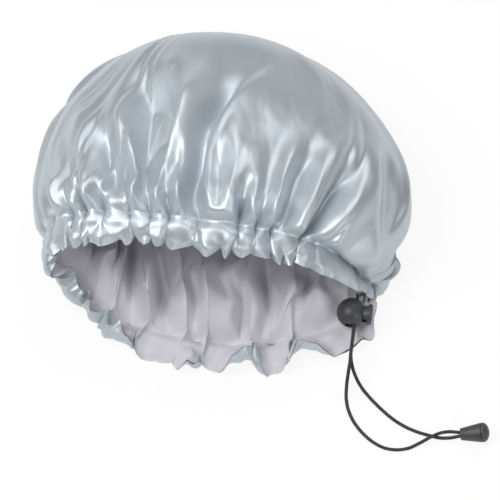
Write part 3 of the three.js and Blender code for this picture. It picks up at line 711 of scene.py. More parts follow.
def channel_layer(grid, side):
    """One panel of the hem's channel: puffed lobes round the cord, joined to the other panel at its edges."""
    columns = grid["columns"]
    rounds = hem_round(columns)
    calm, far = lively(rounds), far_side(rounds)
    reach = (NEAR_REACH + (1 - NEAR_REACH) * far) * (1 - (1 - MOUTH_EDGE) * near_mouth(rounds, MOUTH_SPAN))
    reach = reach * (1 - END_CUT * smoothstep(rounds, *END_SPAN))
    near, edge, back = (fold_measures(folds, columns) for folds in (hem_folds, edge_folds, far_folds))
    tilt, slant, drop, lean = (
        hem_folds.eased(values, columns) * calm for values in (hem_tilts, hem_slants, hem_drops, hem_leans))
    small = fold_lift(small_lobes, columns, SMALL_LOBE)[0] * calm
    rows = []
    for across in np.linspace(-1, 1, BAND_ROWS + 1)[1:]:
        over = (across + 1) / 2
        joined = smoothstep(abs(across), *JOINED_SPAN)
        change = smoothstep(over, *CHANGE_SPAN) * (1 - far)
        mix = list(zip((near, edge, back), ((1 - change) * (1 - far), change, far)))
        ridge = sum(fold[0] * share for fold, share in mix)
        height = sum(fold[2] * share for fold, share in mix)
        bulge = sum(fold[3] * np.sin(TURN * fold[1]) * share for fold, share in mix)
        meander = MEANDER * height * (2 * ridge - 1) * calm + side * LAYER_OFFSET
        lobe = ridge if side > 0 else INNER_LOBE * (1 - ridge)
        lift = joined * meander + (1 - joined) * side * (CORD_ROOM + PUFF * height * lobe * calm)
        lift = lift + TILT * tilt * over ** 2 + small * over * (1 - over / 2)
        lift = lift + CRUMPLE * crumple.at(columns + CRUMPLE_SLANT * slant * over, over) * over * calm
        lift = side * np.maximum(side * lift, (1 - joined) * CORD_ROOM - joined * EDGE_LIMIT * PUFF)
        slide = SLANT * slant * over - BULGE_OVER * (1 - joined / 2) * bulge * calm
        slide = slide + LEAN * lean * (1 - joined) * ridge * height
        moved = rounds + slide / HEM_LENGTH
        place, to_edge, outward, _ = channel_frame(moved)
        to_front, inward, bend = rolled(hem_roll(moved, place), over, reach)
        to_front = to_front + over ** 2 * DROP * (drop + (2 * ridge - 1) * calm)
        way_out = outward * np.cos(bend)[:, None] + to_edge * np.sin(bend)[:, None]
        rows.append(place + to_edge * to_front[:, None] - outward * inward[:, None] + way_out * lift[:, None])
    return np.array(rows)


def cord_route():
    """Middle of the channel, which the drawcord follows round the hem."""
    rounds = np.linspace(CORD_SKIP, 1 - CORD_SKIP, CORD_SAMPLES)
    place, to_edge, outward, _ = channel_frame(rounds)
    to_front, inward, _ = rolled(hem_roll(rounds, place), 0.5, 1)
    return place + to_edge * to_front[:, None] - outward * inward[:, None]


def cloth_net(row_count):
    """Flat net of the cloth: rings joined from the crown outward, with fewer points where they are small."""
    bm = bmesh.new()
    bmesh.ops.create_circle(bm, segments=SMALLEST_RING, radius=1, cap_ends=True, cap_tris=True)
    for row in range(1, row_count):
        rim = [e for e in bm.edges if e.is_boundary]
        if len(rim) < COLUMNS and TURN * row * COARSE_STEP / len(rim) > 2 * SMALLEST_EDGE:
            bmesh.ops.subdivide_edges(bm, edges=rim, cuts=1)
            rim = [e for e in bm.edges if e.is_boundary]
            for vert in {v for e in rim for v in e.verts}:
                vert.co = vert.co.normalized() * row
        made = bmesh.ops.extrude_edge_only(bm, edges=rim)["geom"]
        for vert in (g for g in made if isinstance(g, bmesh.types.BMVert)):
            vert.co = vert.co.normalized() * (row + 1)
    bmesh.ops.recalc_face_normals(bm, faces=bm.faces)
    bm.faces.ensure_lookup_table()
    bm.normal_update()
    if bm.faces[0].normal.z > 0:
        bmesh.ops.reverse_faces(bm, faces=bm.faces)
    mesh = bpy.data.meshes.new("cloth_net")
    bm.to_mesh(mesh)
    bm.free()
    return mesh


def read_points(mesh):
    """Places of a mesh's vertices."""
    points = np.empty(3 * len(mesh.vertices))
    mesh.vertices.foreach_get("co", points)
    return points.reshape(-1, 3)


# Materials
def add_node(tree, kind, inputs=None, **settings):
    """A node with its settings; each input is a value, or the socket that feeds it."""
    node = tree.nodes.new(kind)
    for name, value in settings.items():
        setattr(node, name, value)
    for name, value in (inputs or {}).items():
        if isinstance(value, bpy.types.NodeSocket):
            tree.links.new(value, node.inputs[name])
        else:
            node.inputs[name].default_value = value
    return node


def new_material(name, **values):
    """A material with one Principled shader whose sockets are set directly."""
    material = bpy.data.materials.new(name)
    material.use_nodes = True
    shader = material.node_tree.nodes["Principled BSDF"]
    for socket, value in values.items():
        shader.inputs[socket.replace("_", " ")].default_value = value
    return material, material.node_tree, shader


def cells(size):
    """Scale of a noise whose cells are a size in millimetres."""
    return 1 / (size * MM)


def threads_apart(spacing):
    """Scale of a wave texture whose bands are a spacing in millimetres apart."""
    return TURN / WAVE_UNIT / (spacing * MM)


# Sizes of the patterns, in millimetres
WAVE_UNIT = 20  # a wave texture of scale 1 runs this many radians in a metre
FLOAT_LENGTH, FLOAT_WIDTH = 3.846, 0.4545  # real floats are about 0.1 wide: drawn coarser, to show
SATIN_PATCH, LINING_PATCH = 71.43, 55.56
CRUSH_LENGTH, CRUSH_WIDTH = 45.45, 9.09
CRUSH_DEPTH, FLOAT_DEPTH, WEAVE_DEPTH, STRAND_DEPTH, GRAIN_DEPTH = 3.0, 0.2, 0.2, 0.3, 0.1
GATHERED_FROM, GATHERED_TO = 60, 200  # from the crown's end along the cloth, where small creases grow
WEAVE_SPACING = 2.856  # real threads are about 0.25 apart: drawn coarser, so that the weave shows
BRAID_ALONG, BRAID_ROUND = 12, 1.2  # waves of strands over a cord's UV, coarser than the real ones to show
GRAIN, MOULD_CLOUD = 0.3846, 6.25
THREAD_FIBRE = 0.3333
WIRE_MOTTLE = 0.6667


def satin_material():
    """Woven polyester satin: long floats on the face give it a soft, stretched gloss with pale highlights."""
    material, tree, shader = new_material(
        "polyester_satin", Metallic=0.65, IOR=1.45, Anisotropic=0.5, Sheen_Weight=0.1, Sheen_Roughness=0.4)
    cloth = add_node(tree, "ShaderNodeUVMap", uv_map="cut")
    fine = add_node(tree, "ShaderNodeMapping", {
        "Vector": cloth.outputs[0], "Scale": (cells(FLOAT_LENGTH), cells(FLOAT_WIDTH), 1)})
    floats = add_node(tree, "ShaderNodeTexNoise", {"Vector": fine.outputs[0], "Scale": 1.0, "Detail": 3})
    drift = add_node(tree, "ShaderNodeTexNoise", {
        "Vector": cloth.outputs[0], "Scale": cells(SATIN_PATCH), "Detail": 2})
    tone = add_node(tree, "ShaderNodeMix", {
        "Factor": drift.outputs[0], "A": linear("b8c1c8"), "B": linear("c9d1d7")}, data_type="RGBA")
    tree.links.new(tone.outputs["Result"], shader.inputs["Base Color"])
    gloss = add_node(tree, "ShaderNodeMapRange", {"Value": floats.outputs[0], "To Min": 0.44, "To Max": 0.54})
    tree.links.new(gloss.outputs[0], shader.inputs["Roughness"])
    way = add_node(tree, "ShaderNodeAttribute", attribute_name="fold_way")
    stretched = add_node(tree, "ShaderNodeMapping", {
        "Vector": way.outputs["Vector"],
        "Scale": (cells(CRUSH_WIDTH), cells(CRUSH_WIDTH), cells(CRUSH_LENGTH))})
    crush = add_node(tree, "ShaderNodeTexNoise", {"Vector": stretched.outputs[0], "Scale": 1.0, "Detail": 2})
    from_crown = add_node(tree, "ShaderNodeSeparateXYZ", {0: way.outputs["Vector"]})
    gathered = add_node(tree, "ShaderNodeMapRange", {
        "Value": from_crown.outputs["Z"], "From Min": GATHERED_FROM * MM, "From Max": GATHERED_TO * MM,
        "To Min": 0.08, "To Max": 0.6})
    soft = add_node(tree, "ShaderNodeBump", {
        "Height": crush.outputs[0], "Strength": gathered.outputs[0], "Distance": CRUSH_DEPTH * MM})
    bump = add_node(tree, "ShaderNodeBump", {
        "Height": floats.outputs[0], "Strength": 0.12, "Distance": FLOAT_DEPTH * MM,
        "Normal": soft.outputs[0]})
    tree.links.new(bump.outputs[0], shader.inputs["Normal"])
    grain = add_node(tree, "ShaderNodeTangent", direction_type="UV_MAP", uv_map="cut")
    tree.links.new(grain.outputs[0], shader.inputs["Tangent"])
    return material


def lining_material():
    """Plain-woven polyester lining: matt, faintly lilac, with a fine even weave."""
    material, tree, shader = new_material(
        "polyester_lining", Roughness=0.75, IOR=1.45, Sheen_Weight=0.25, Sheen_Roughness=0.6)
    cloth = add_node(tree, "ShaderNodeUVMap", uv_map="cut")
    drift = add_node(tree, "ShaderNodeTexNoise", {
        "Vector": cloth.outputs[0], "Scale": cells(LINING_PATCH), "Detail": 2})
    tone = add_node(tree, "ShaderNodeMix", {
        "Factor": drift.outputs[0], "A": linear("c9c8cf"), "B": linear("d6d5dc")}, data_type="RGBA")
    tree.links.new(tone.outputs["Result"], shader.inputs["Base Color"])
    threads = [
        add_node(tree, "ShaderNodeTexWave", {
            "Vector": cloth.outputs[0], "Scale": threads_apart(WEAVE_SPACING), "Distortion": 0.6},
            bands_direction=way)
        for way in ("X", "Y")
    ]
    weave = add_node(tree, "ShaderNodeMath", {0: threads[0].outputs[0], 1: threads[1].outputs[0]},
                     operation="MAXIMUM")
    bump = add_node(tree, "ShaderNodeBump", {
        "Height": weave.outputs[0], "Strength": 0.1, "Distance": WEAVE_DEPTH * MM})
    tree.links.new(bump.outputs[0], shader.inputs["Normal"])
    return material


def cord_material():
    """Braided polyester over elastic: black, matt, with small slanted strands."""
    material, tree, shader = new_material(
        "braided_elastic", Roughness=0.62, IOR=1.5, Sheen_Weight=0.2, Sheen_Roughness=0.5)
    along = add_node(tree, "ShaderNodeUVMap", uv_map="UVMap")
    strands = []
    for side in (1, -1):
        slanted = add_node(tree, "ShaderNodeMapping", {
            "Vector": along.outputs[0], "Scale": (BRAID_ALONG, side * BRAID_ROUND, 0)})
        strands.append(add_node(tree, "ShaderNodeTexWave", {"Vector": slanted.outputs[0], "Scale": 1.0},
                                bands_direction="DIAGONAL"))
    braid = add_node(tree, "ShaderNodeMath", {0: strands[0].outputs[0], 1: strands[1].outputs[0]},
                     operation="MULTIPLY")
    tone = add_node(tree, "ShaderNodeMix", {
        "Factor": braid.outputs[0], "A": linear("1d1d1f"), "B": linear("38383b")}, data_type="RGBA")
    tree.links.new(tone.outputs["Result"], shader.inputs["Base Color"])
    bump = add_node(tree, "ShaderNodeBump", {
        "Height": braid.outputs[0], "Strength": 0.5, "Distance": STRAND_DEPTH * MM})
    tree.links.new(bump.outputs[0], shader.inputs["Normal"])
    return material


def plastic_material():
    """Injection-moulded acetal, dark grey: a fine spark-eroded grain that softens its gloss."""
    material, tree, shader = new_material("moulded_acetal", IOR=1.48)
    place = add_node(tree, "ShaderNodeTexCoord")
    grain = add_node(tree, "ShaderNodeTexNoise", {
        "Vector": place.outputs["Object"], "Scale": cells(GRAIN), "Detail": 2})
    cloud = add_node(tree, "ShaderNodeTexNoise", {
        "Vector": place.outputs["Object"], "Scale": cells(MOULD_CLOUD), "Detail": 3})
    tone = add_node(tree, "ShaderNodeMix", {
        "Factor": cloud.outputs[0], "A": linear("3b3c3f"), "B": linear("47484c")}, data_type="RGBA")
    tree.links.new(tone.outputs["Result"], shader.inputs["Base Color"])
    gloss = add_node(tree, "ShaderNodeMapRange", {"Value": cloud.outputs[0], "To Min": 0.38, "To Max": 0.5})
    tree.links.new(gloss.outputs[0], shader.inputs["Roughness"])
    bump = add_node(tree, "ShaderNodeBump", {
        "Height": grain.outputs[0], "Strength": 0.25, "Distance": GRAIN_DEPTH * MM})
    tree.links.new(bump.outputs[0], shader.inputs["Normal"])
    return material


def thread_material():
    """Spun polyester sewing thread: white, matt, twisted."""
    material, tree, shader = new_material("sewing_thread", Roughness=0.7, Sheen_Weight=0.3)
    place = add_node(tree, "ShaderNodeTexCoord")
    fibre = add_node(tree, "ShaderNodeTexNoise", {
        "Vector": place.outputs["Object"], "Scale": cells(THREAD_FIBRE)})
    tone = add_node(tree, "ShaderNodeMix", {
        "Factor": fibre.outputs[0], "A": linear("e2e6ea"), "B": linear("fbfbfb")}, data_type="RGBA")
    tree.links.new(tone.outputs["Result"], shader.inputs["Base Color"])
    return material


def spring_material():
    """Drawn spring steel: bright, with a fine mottle in its tone and gloss."""
    material, tree, shader = new_material("spring_steel", Metallic=1.0)
    place = add_node(tree, "ShaderNodeTexCoord")
    mottle = add_node(tree, "ShaderNodeTexNoise", {
        "Vector": place.outputs["Object"], "Scale": cells(WIRE_MOTTLE), "Detail": 2})
    tone = add_node(tree, "ShaderNodeMix", {
        "Factor": mottle.outputs[0], "A": linear("aeb0b4"), "B": linear("c8cacc")}, data_type="RGBA")
    tree.links.new(tone.outputs["Result"], shader.inputs["Base Color"])
    gloss = add_node(tree, "ShaderNodeMapRange", {"Value": mottle.outputs[0], "To Min": 0.22, "To Max": 0.36})
    tree.links.new(gloss.outputs[0], shader.inputs["Roughness"])
    return material


SATIN = satin_material()
LINING = lining_material()
CORD = cord_material()
PLASTIC = plastic_material()
THREAD = thread_material()
SPRING = spring_material()


def add_piece(name, mesh, material, body, slot, *nodes):
    """A finished piece that rides on a body and stands for the solids named."""
    obj = link(bpy.data.objects.new(name, mesh))
    obj.data.materials.append(material)
    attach(obj, body)
    if nodes:
        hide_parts(*nodes)
    return obj


# Cords
TUBE_ROUNDNESS = 3


def tube_mesh(name, places, diameter):
    """Round tube along places, with its length and turn as UV."""
    data = bpy.data.curves.new(name, "CURVE")
    data.dimensions = "3D"
    data.bevel_depth = diameter / 2 * MM
    data.bevel_resolution = TUBE_ROUNDNESS
    data.use_fill_caps = True
    route = data.splines.new("POLY")
    route.points.add(len(places) - 1)
    route.points.foreach_set("co", np.hstack([(places + ORIGIN) * MM, np.ones((len(places), 1))]).ravel())
    route.use_smooth = True
    shape = link(bpy.data.objects.new(name + "_shape", data))
    bpy.context.view_layer.update()
    mesh = bpy.data.meshes.new_from_object(shape.evaluated_get(bpy.context.evaluated_depsgraph_get()))
    bpy.data.objects.remove(shape)
    mesh.shade_smooth()
    return mesh


MOUTH = hem_place(np.zeros(1))[0]
STRAND_OFFSET = (CORD_DIAMETER + CORD_GAP) / 2
bell_turn = Matrix.Rotation(math.radians(-BELL_TILT), 3, "Y")


def strand_place(stack, distance):
    """Place on the upper (1) or lower (-1) strand, a distance out of the cord's mouth."""
    return MOUTH + STACK_WAY * stack * STRAND_OFFSET + CORD_WAY * distance


def bell_place(x, side):
    """Place of a strand in the bell, a distance along its axis."""
    return BELL_AT + np.array(bell_turn @ Vector((x, side * STRAND_OFFSET, 0)))


def add_tail(name, stack, route, side):
    """One free tail of the drawcord, from its mouth through the lock and over the floor into the bell."""
    straight = np.linspace(EXIT_BEND + EXIT_LENGTH + CORD_GAP, STRAIGHT_RUN, STRAIGHT_STEPS + 1)
    points = [strand_place(stack, distance) for distance in straight]
    points += [np.array(p, float) for p in route]
    points += [bell_place(0, side), bell_place(TAIL_END_X, side)]
    places, length = open_curve(points)
    mesh = tube_mesh(name, places, CORD_DIAMETER)
    cord = add_piece(name + "_braid", mesh, CORD, "cap", "elastic_cord", name)


# Rigid pieces, each turned round its own X axis and set in place
TURNED_STEPS = 72
MERGE_DISTANCE = 0.001
SLOT_DEPTH = 60
SLOT_SEGMENTS = 8
EDGE_SEGMENTS = 3
EDGE_ANGLE = math.radians(40)
SHARP_ANGLE = math.radians(50)


def turned_mesh(profile, closed=False):
    """A profile of places along X and radii, spun about X."""
    bm = bmesh.new()
    verts = [bm.verts.new((x, radius, 0)) for x, radius in profile]
    edges = [bm.edges.new(pair) for pair in zip(verts, verts[1:] + verts[:1] * closed)]
    bmesh.ops.spin(bm, geom=verts + edges, axis=(1, 0, 0), cent=(0, 0, 0), angle=TURN, steps=TURNED_STEPS,
                   use_merge=True)
    bmesh.ops.remove_doubles(bm, verts=bm.verts, dist=MERGE_DISTANCE)
    bmesh.ops.recalc_face_normals(bm, faces=bm.faces)
    return bm


def slot_mesh(start, end, width, corner):
    """Cutter for a slot along Y with round corners, between two places along X."""
    bm = bmesh.new()
    bmesh.ops.create_cube(bm, size=1)
    size = Matrix.Diagonal((end - start, SLOT_DEPTH, width, 1))
    bmesh.ops.transform(bm, verts=bm.verts, matrix=Matrix.Translation(((start + end) / 2, 0, 0)) @ size)
    long_edges = [e for e in bm.edges if abs((e.verts[0].co - e.verts[1].co).y) > 1]
    bmesh.ops.bevel(bm, geom=long_edges, offset=corner, segments=SLOT_SEGMENTS, profile=0.5, affect="EDGES",
                    material=-1)
    return bm


def to_mesh(bm, name):
    """The bmesh as a mesh, and the bmesh freed."""
    mesh = bpy.data.meshes.new(name)
    bm.to_mesh(mesh)
    bm.free()
    return mesh


def cut(bm, cutters, name, edge_round):
    """Mesh of a turned piece after its cutters are taken out and its edges rounded."""
    piece = link(bpy.data.objects.new(name + "_blank", to_mesh(bm, name + "_blank")))
    tools = []
    for i, cutter in enumerate(cutters):
        tool = link(bpy.data.objects.new(f"{name}_tool_{i}", to_mesh(cutter, f"{name}_tool_{i}")))
        boolean = piece.modifiers.new(f"cut_{i}", "BOOLEAN")
        boolean.object = tool
        boolean.solver = "EXACT"
        tools.append(tool)
    bevel = piece.modifiers.new("edges", "BEVEL")
    bevel.width = edge_round
    bevel.segments = EDGE_SEGMENTS
    bevel.angle_limit = EDGE_ANGLE
    bpy.context.view_layer.update()
    mesh = bpy.data.meshes.new_from_object(piece.evaluated_get(bpy.context.evaluated_depsgraph_get()))
    for obj in (piece, *tools):
        bpy.data.objects.remove(obj)
    return mesh


def place_mesh(mesh, turn, origin):
    """The mesh, turned and set in the frame, with its sharp edges marked."""
    mesh.transform(Matrix.Translation(Vector((origin + ORIGIN) * MM)) @ turn.to_4x4() @ Matrix.Scale(MM, 4))
    mesh.shade_smooth()
    mesh.set_sharp_from_angle(angle=SHARP_ANGLE)
    return mesh


# Ball cord lock, along its own X axis
BALL_RADIUS = 10.5
BALL_FACE_X = 7.8
STEM_RADIUS = 5.9
STEM_INNER_X = -2
HEAD_RADIUS = 7.2
HEAD_THICKNESS = 3
HEAD_ROUND = 0.9
SLIDE_GAP = 0.3
PLUNGER_TRAVEL = 3
BALL_STEPS, HEAD_STEPS = 32, 7
BARREL_EDGE, PLUNGER_EDGE = 0.35, 0.2
CORD_HOLE_LENGTH = 8
CORD_HOLE_END_X = 4.4
PLUNGER_SLOT_LENGTH = 10
SPRING_POCKET_X = -8.6
SPRING_POCKET_RADIUS = 3.35
SPRING_SEAT = 2
SLOT_WIDTH = 2 * CORD_DIAMETER + CORD_GAP + 2 * SLIDE_GAP
SLOT_CORNER = CORD_DIAMETER / 2 + SLIDE_GAP
CORD_X = CORD_HOLE_END_X - SLIDE_GAP - CORD_DIAMETER / 2
PLUNGER_SLOT_X = CORD_X - CORD_DIAMETER / 2 - SLIDE_GAP
HEAD_X = PLUNGER_SLOT_X + PLUNGER_SLOT_LENGTH + SLIDE_GAP
BORE_RADIUS = STEM_RADIUS + SLIDE_GAP
BORE_END_X = STEM_INNER_X - PLUNGER_TRAVEL - SLIDE_GAP
lock_origin = MOUTH + CORD_WAY * LOCK_FROM_MOUTH - LOCK_X * CORD_X


def add_lock():
    """Ball with its bore and cord hole, and the plunger with its slot."""
    angles = np.linspace(math.pi, math.acos(BALL_FACE_X / BALL_RADIUS), BALL_STEPS)
    arc = [(BALL_RADIUS * math.cos(a), BALL_RADIUS * math.sin(a)) for a in angles]
    ball = turned_mesh([
        *arc, (BALL_FACE_X, BORE_RADIUS), (BORE_END_X, BORE_RADIUS), (BORE_END_X, SPRING_POCKET_RADIUS),
        (SPRING_POCKET_X, SPRING_POCKET_RADIUS), (SPRING_POCKET_X, 0),
    ])
    hole = slot_mesh(CORD_HOLE_END_X - CORD_HOLE_LENGTH, CORD_HOLE_END_X, SLOT_WIDTH, SLOT_CORNER)
    barrel = place_mesh(cut(ball, [hole], "lock_barrel", BARREL_EDGE), lock_turn, lock_origin)
    add_piece("lock_barrel_moulding", barrel, PLASTIC, "cord_lock", "grey_plastic", "lock_barrel")
    outer_x = HEAD_X + HEAD_THICKNESS
    round_off = [
        (outer_x - HEAD_ROUND + HEAD_ROUND * math.cos(a), HEAD_RADIUS - HEAD_ROUND + HEAD_ROUND * math.sin(a))
        for a in np.linspace(math.pi / 2, 0, HEAD_STEPS)
    ]
    stem = turned_mesh([
        (STEM_INNER_X + SPRING_SEAT, 0), (STEM_INNER_X + SPRING_SEAT, SPRING_POCKET_RADIUS),
        (STEM_INNER_X, SPRING_POCKET_RADIUS), (STEM_INNER_X, STEM_RADIUS), (HEAD_X, STEM_RADIUS),
        (HEAD_X, HEAD_RADIUS), *round_off, (outer_x, 0),
    ])
    slot = slot_mesh(PLUNGER_SLOT_X, PLUNGER_SLOT_X + PLUNGER_SLOT_LENGTH, SLOT_WIDTH, SLOT_CORNER)
    plunger = place_mesh(cut(stem, [slot], "lock_plunger", PLUNGER_EDGE), lock_turn, lock_origin)
    add_piece("lock_plunger_moulding", plunger, PLASTIC, "plunger", "grey_plastic", "lock_plunger")


# Bell cord end, along its own X axis
BELL_SMALL_RADIUS = 4.15
BELL_LARGE_RADIUS = 6.85
BELL_LENGTH = 14.5
BELL_WALL = 1.15
BELL_FLOOR = 2.6
LID_RIM = 0.9
LID_DOME = 4.4
LID_PLUG = 2.2
LID_GAP = 0.3
LID_STEPS = 20
SHELL_EDGE, LID_EDGE = 0.4, 0.25


def add_bell():
    """Bell-shaped shell with the cords' entry, and its domed lid."""
    entry = CORD_DIAMETER + CORD_GAP / 2 + SLIDE_GAP
    slope = (BELL_LARGE_RADIUS - BELL_SMALL_RADIUS) / BELL_LENGTH
    shell = turned_mesh([
        (0, entry), (0, BELL_SMALL_RADIUS), (BELL_LENGTH, BELL_LARGE_RADIUS),
        (BELL_LENGTH, BELL_LARGE_RADIUS - BELL_WALL),
        (BELL_FLOOR, BELL_SMALL_RADIUS + slope * BELL_FLOOR - BELL_WALL), (BELL_FLOOR, entry),
    ], closed=True)
    shell = place_mesh(cut(shell, [], "bell_shell", SHELL_EDGE), bell_turn, BELL_AT)
    seat = BELL_LENGTH + LID_GAP
    plug = BELL_LARGE_RADIUS - BELL_WALL - slope * LID_PLUG - LID_GAP
    dome = [
        (seat + LID_RIM + LID_DOME * math.sin(a), BELL_LARGE_RADIUS * math.cos(a))
        for a in np.linspace(0, math.pi / 2, LID_STEPS)
    ]
    dome[-1] = (dome[-1][0], 0)
    lid = turned_mesh([
        (BELL_LENGTH - LID_PLUG, 0), (BELL_LENGTH - LID_PLUG, plug), (seat, plug),
        (seat, BELL_LARGE_RADIUS), *dome,
    ])
    lid = place_mesh(cut(lid, [], "bell_lid", LID_EDGE), bell_turn, BELL_AT)
    return [
        add_piece("bell_shell_moulding", shell, PLASTIC, "cap", "grey_plastic", "bell_shell"),
        add_piece("bell_lid_moulding", lid, PLASTIC, "cap", "grey_plastic", "bell_lid"),
    ]


# Spring behind the plunger
SPRING_WIRE = 0.7
SPRING_COIL_RADIUS = 2.7
SPRING_TURNS = 5
SPRING_GAP = 0.3
SPRING_STEPS = 24


def add_spring():
    """Compression spring between the plunger and the ball's pocket."""
    turns = np.linspace(0, SPRING_TURNS, SPRING_TURNS * SPRING_STEPS + 1)
    start = SPRING_POCKET_X + SPRING_GAP
    end = STEM_INNER_X + SPRING_SEAT - SPRING_GAP
    x = start + SPRING_WIRE / 2 + (end - start - SPRING_WIRE) * turns / SPRING_TURNS
    coil = np.outer(np.cos(TURN * turns), CORD_WAY) + np.outer(np.sin(TURN * turns), STACK_WAY)
    places = lock_origin + np.outer(x, LOCK_X) + SPRING_COIL_RADIUS * coil
    mesh = tube_mesh("lock_spring", places, SPRING_WIRE)
    wire = add_piece("lock_spring_wire", mesh, SPRING, "cord_lock", "spring_steel", "lock_spring")
    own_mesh(wire)


# Cloth pieces
CLOTH_THICKNESS = 0.25
LINING_OFF_FLOOR = 3 * CLOTH_THICKNESS
CROWN_RINGS = 14
CROWN_PASSES = 30
LOCK_TRAVEL = 18
LOCK_ROOM = 1.2
PRESS_SOFT = 0.8


def pressed(points, below_top):
    """Places pressed down under the cord lock's slide, a distance below the cloth's upper panel there."""
    way = CORD_WAY * LOCK_TRAVEL
    for along_x, radius in ((0, BALL_RADIUS), (HEAD_X + HEAD_THICKNESS / 2, HEAD_RADIUS)):
        start = lock_origin + LOCK_X * along_x
        part = np.clip((points - start) @ way / (way @ way), 0, 1)
        middle = start + part[..., None] * way
        off = points - middle
        room = radius + LOCK_ROOM + below_top
        depth = np.sqrt(np.maximum(room ** 2 - off[..., 0] ** 2 - off[..., 1] ** 2, 0))
        limit = middle[..., 2] - depth
        below = -PRESS_SOFT * np.logaddexp(-points[..., 2] / PRESS_SOFT, -limit / PRESS_SOFT)
        points[..., 2] = np.where((depth > 0) & (off[..., 2] < 0), below, points[..., 2])
    return points


def smooth_crown(mesh, numbers):
    """The cloth at the crown's end, made smooth where all its columns meet."""
    bm = bmesh.new()
    bm.from_mesh(mesh)
    crown = [vert for vert, number in zip(bm.verts, numbers) if number < CROWN_RINGS]
    for _ in range(CROWN_PASSES):
        bmesh.ops.smooth_vert(bm, verts=crown, factor=0.5, use_axis_x=True, use_axis_y=True, use_axis_z=True)
    bm.to_mesh(mesh)
    bm.free()


def mark_cut(mesh, radii, turns):
    """The cut disc as UV, and the way along the folds as an attribute, for the cloth's patterns."""
    circle = np.stack([np.cos(TURN * turns), np.sin(TURN * turns)], -1)
    corners = np.empty(len(mesh.loops), int)
    mesh.loops.foreach_get("vertex_index", corners)
    uv = mesh.uv_layers.new(name="cut")
    uv.data.foreach_set("uv", (0.5 + (radii[:, None] * circle)[corners] * MM).ravel())
    way = mesh.attributes.new("fold_way", "FLOAT_VECTOR", "POINT")
    way.data.foreach_set("vector", (np.hstack([HEM_LENGTH / TURN * circle, radii[:, None]]) * MM).ravel())


def add_layer(name, side, net, grid, material, slot, node):
    """One panel, outside (side 1) or inside (-1); gives the ring of its stitching and the ways out of it."""
    rows = np.concatenate([crown_layer(grid, side), channel_layer(grid, side)])
    rows = pressed(rows, 2 * CORD_ROOM if side > 0 else 0)
    rows[..., 2] = np.maximum(rows[..., 2], CLOTH_THICKNESS if side > 0 else LINING_OFF_FLOOR)
    flat = read_points(net)
    numbers = np.rint(np.linalg.norm(flat, axis=1)).astype(int) - 1
    turns = np.mod(np.arctan2(flat[:, 1], flat[:, 0]) / TURN, 1)
    columns = np.rint(turns * COLUMNS).astype(int) % COLUMNS
    points = rows[numbers, columns]
    points[numbers < 0] = rows[0].mean(0)
    mesh = net.copy()
    mesh.name = name
    mesh.vertices.foreach_set("co", ((points + ORIGIN) * MM).ravel())
    smooth_crown(mesh, numbers)
    if side < 0:
        mesh.flip_normals()
    band = grid["length"] + np.arange(1, BAND_ROWS + 1) * CHANNEL_WIDTH / BAND_ROWS
    run = np.concatenate([(1 - grid["shares"]) * grid["length"], band])
    mark_cut(mesh, np.where(numbers < 0, 0, run[numbers]), turns)
    mesh.shade_smooth()
    mesh.update()
    panel = add_piece(name, mesh, material, "cap", slot, node)
    ring = np.flatnonzero(numbers == len(grid["shares"]) - 1)
    ring = ring[np.argsort(columns[ring])]
    normals = np.empty(3 * len(points))
    mesh.vertices.foreach_get("normal", normals)
    return points[ring], normals.reshape(-1, 3)[ring]


STITCH_STEP = 3.0
STITCH_LENGTH = 2.5
STITCH_WIDTH = 0.5
STITCH_HEIGHT = 0.4
STITCH_LIFT = 0.1


def add_stitches(name, ring_points, outward):
    """Row of single stitches on the cloth, along a ring of its points."""
    closed = np.vstack([ring_points, ring_points[:1]])
    ways = np.vstack([outward, outward[:1]])
    run = run_along(closed)
    count = round(run[-1] / STITCH_STEP)
    bm = bmesh.new()
    for i in range(count):
        ends = (np.array([-0.5, 0.5]) * STITCH_LENGTH / STITCH_STEP + i + 0.5) * run[-1] / count
        a, b = (np.array([np.interp(s % run[-1], run, closed[:, k]) for k in range(3)]) for s in ends)
        along = Vector(b - a)
        up = Vector([np.interp(ends.mean(), run, ways[:, k]) for k in range(3)])
        side = along.cross(up).normalized()
        up = side.cross(along).normalized()
        turn = Matrix((along.normalized(), side, up)).transposed()
        size = Matrix.Diagonal((along.length / 2, STITCH_WIDTH / 2, STITCH_HEIGHT / 2, 1))
        middle = Vector((a + b) / 2) + up * STITCH_LIFT
        place = Matrix.Translation(middle) @ turn.to_4x4() @ size
        bmesh.ops.create_uvsphere(bm, u_segments=6, v_segments=5, radius=1, matrix=place)
    mesh = to_mesh(bm, name)
    mesh.transform(Matrix.Translation(Vector(ORIGIN * MM)) @ Matrix.Scale(MM, 4))
    mesh.shade_smooth()
    add_piece(name, mesh, THREAD, "cap", "satin")


def add_cloth():
    """Both panels with their stitching, and the drawcord in the channel between them."""
    grid = cloth_grid()
    net = cloth_net(len(grid["shares"]) + BAND_ROWS)
    for side, name, material, slot, node in (
        (1, "satin_cloth", SATIN, "satin", "satin_panel"),
        (-1, "lining_cloth", LINING, "lining", "lining_panel"),
    ):
        ring, outward = add_layer(name, side, net, grid, material, slot, node)
        add_stitches(name + "_stitches", ring, outward)
    cord = pressed(cord_route(), CORD_ROOM)
    places, _ = open_curve([
        strand_place(1, EXIT_BEND + EXIT_LENGTH), strand_place(1, EXIT_BEND), *cord,
        strand_place(-1, EXIT_BEND), strand_place(-1, EXIT_BEND + EXIT_LENGTH),
    ])
    mesh = tube_mesh("drawcord", places, CORD_DIAMETER)
    add_piece("drawcord_braid", mesh, CORD, "cap", "elastic_cord", "drawcord")


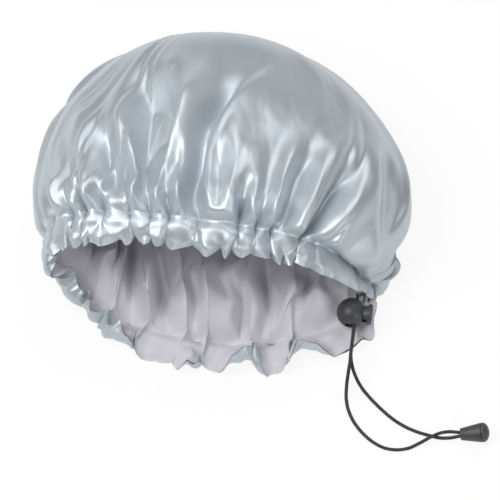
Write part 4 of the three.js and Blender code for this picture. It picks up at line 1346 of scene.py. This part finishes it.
# Floor, light and world: each lamp's name, place, size in metres and power in watts
LAMP_AIM = Vector((0, 0, 0.05))
FLOOR_HALF = 20
FLOOR_GLOW = 0.88  # share of the floor's look that is plain white
WORLD_LIGHT = 0.09
LAMPS = [
    ("key", (-0.5, -0.3, 1.1), 0.8, 12),
    ("fill", (0.7, -0.8, 0.5), 0.6, 3),
    ("top", (0.3, 0.65, 1.1), 1.0, 8),
    ("side", (-1.0, 0.4, 0.5), 0.6, 1.2),
]


def add_stage():
    """White floor that keeps a faint shadow, soft lamps and a dim even world."""
    bm = bmesh.new()
    bmesh.ops.create_grid(bm, size=FLOOR_HALF)
    floor = link(bpy.data.objects.new("floor", to_mesh(bm, "floor")))
    material, tree, shader = new_material("white_floor", Roughness=0.9, Base_Color=linear("f4f4f4"))
    path = add_node(tree, "ShaderNodeLightPath")
    glow = add_node(tree, "ShaderNodeEmission", {"Strength": 1.0})
    mirrored = add_node(tree, "ShaderNodeMath", {
        0: path.outputs["Is Glossy Ray"], 1: path.outputs["Is Transmission Ray"]}, operation="MAXIMUM")
    looked_at = add_node(tree, "ShaderNodeMath", {
        0: path.outputs["Is Camera Ray"], 1: mirrored.outputs[0]}, operation="MAXIMUM")
    seen = add_node(tree, "ShaderNodeMath", {0: looked_at.outputs[0], 1: FLOOR_GLOW}, operation="MULTIPLY")
    mixed = add_node(tree, "ShaderNodeMixShader", {
        0: seen.outputs[0], 1: shader.outputs[0], 2: glow.outputs[0]})
    tree.links.new(mixed.outputs[0], tree.nodes["Material Output"].inputs["Surface"])
    floor.data.materials.append(material)
    for name, place, size, power in LAMPS:
        data = bpy.data.lights.new(name, "AREA")
        data.size = size
        data.energy = power
        lamp = link(bpy.data.objects.new(name, data))
        lamp.location = place
        lamp.rotation_euler = (LAMP_AIM - Vector(place)).to_track_quat("-Z", "Y").to_euler()
    world = bpy.data.worlds.new("studio")
    bpy.context.scene.world = world
    world.use_nodes = True
    background = world.node_tree.nodes["Background"].inputs
    background["Color"].default_value = linear("ffffff")
    background["Strength"].default_value = WORLD_LIGHT


# The scene, piece by piece
add_camera()
bell_pieces = [*add_bell(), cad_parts["cord_knot"]]
add_tail("cord_tail_upper", 1, UPPER_TAIL, 1)
add_tail("cord_tail_lower", -1, LOWER_TAIL, -1)
add_lock()
add_spring()
add_cloth()
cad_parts["cord_knot"].data.materials.clear()
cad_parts["cord_knot"].data.materials.append(CORD)
add_stage()
bpy.context.scene.view_settings.view_transform = "Standard"
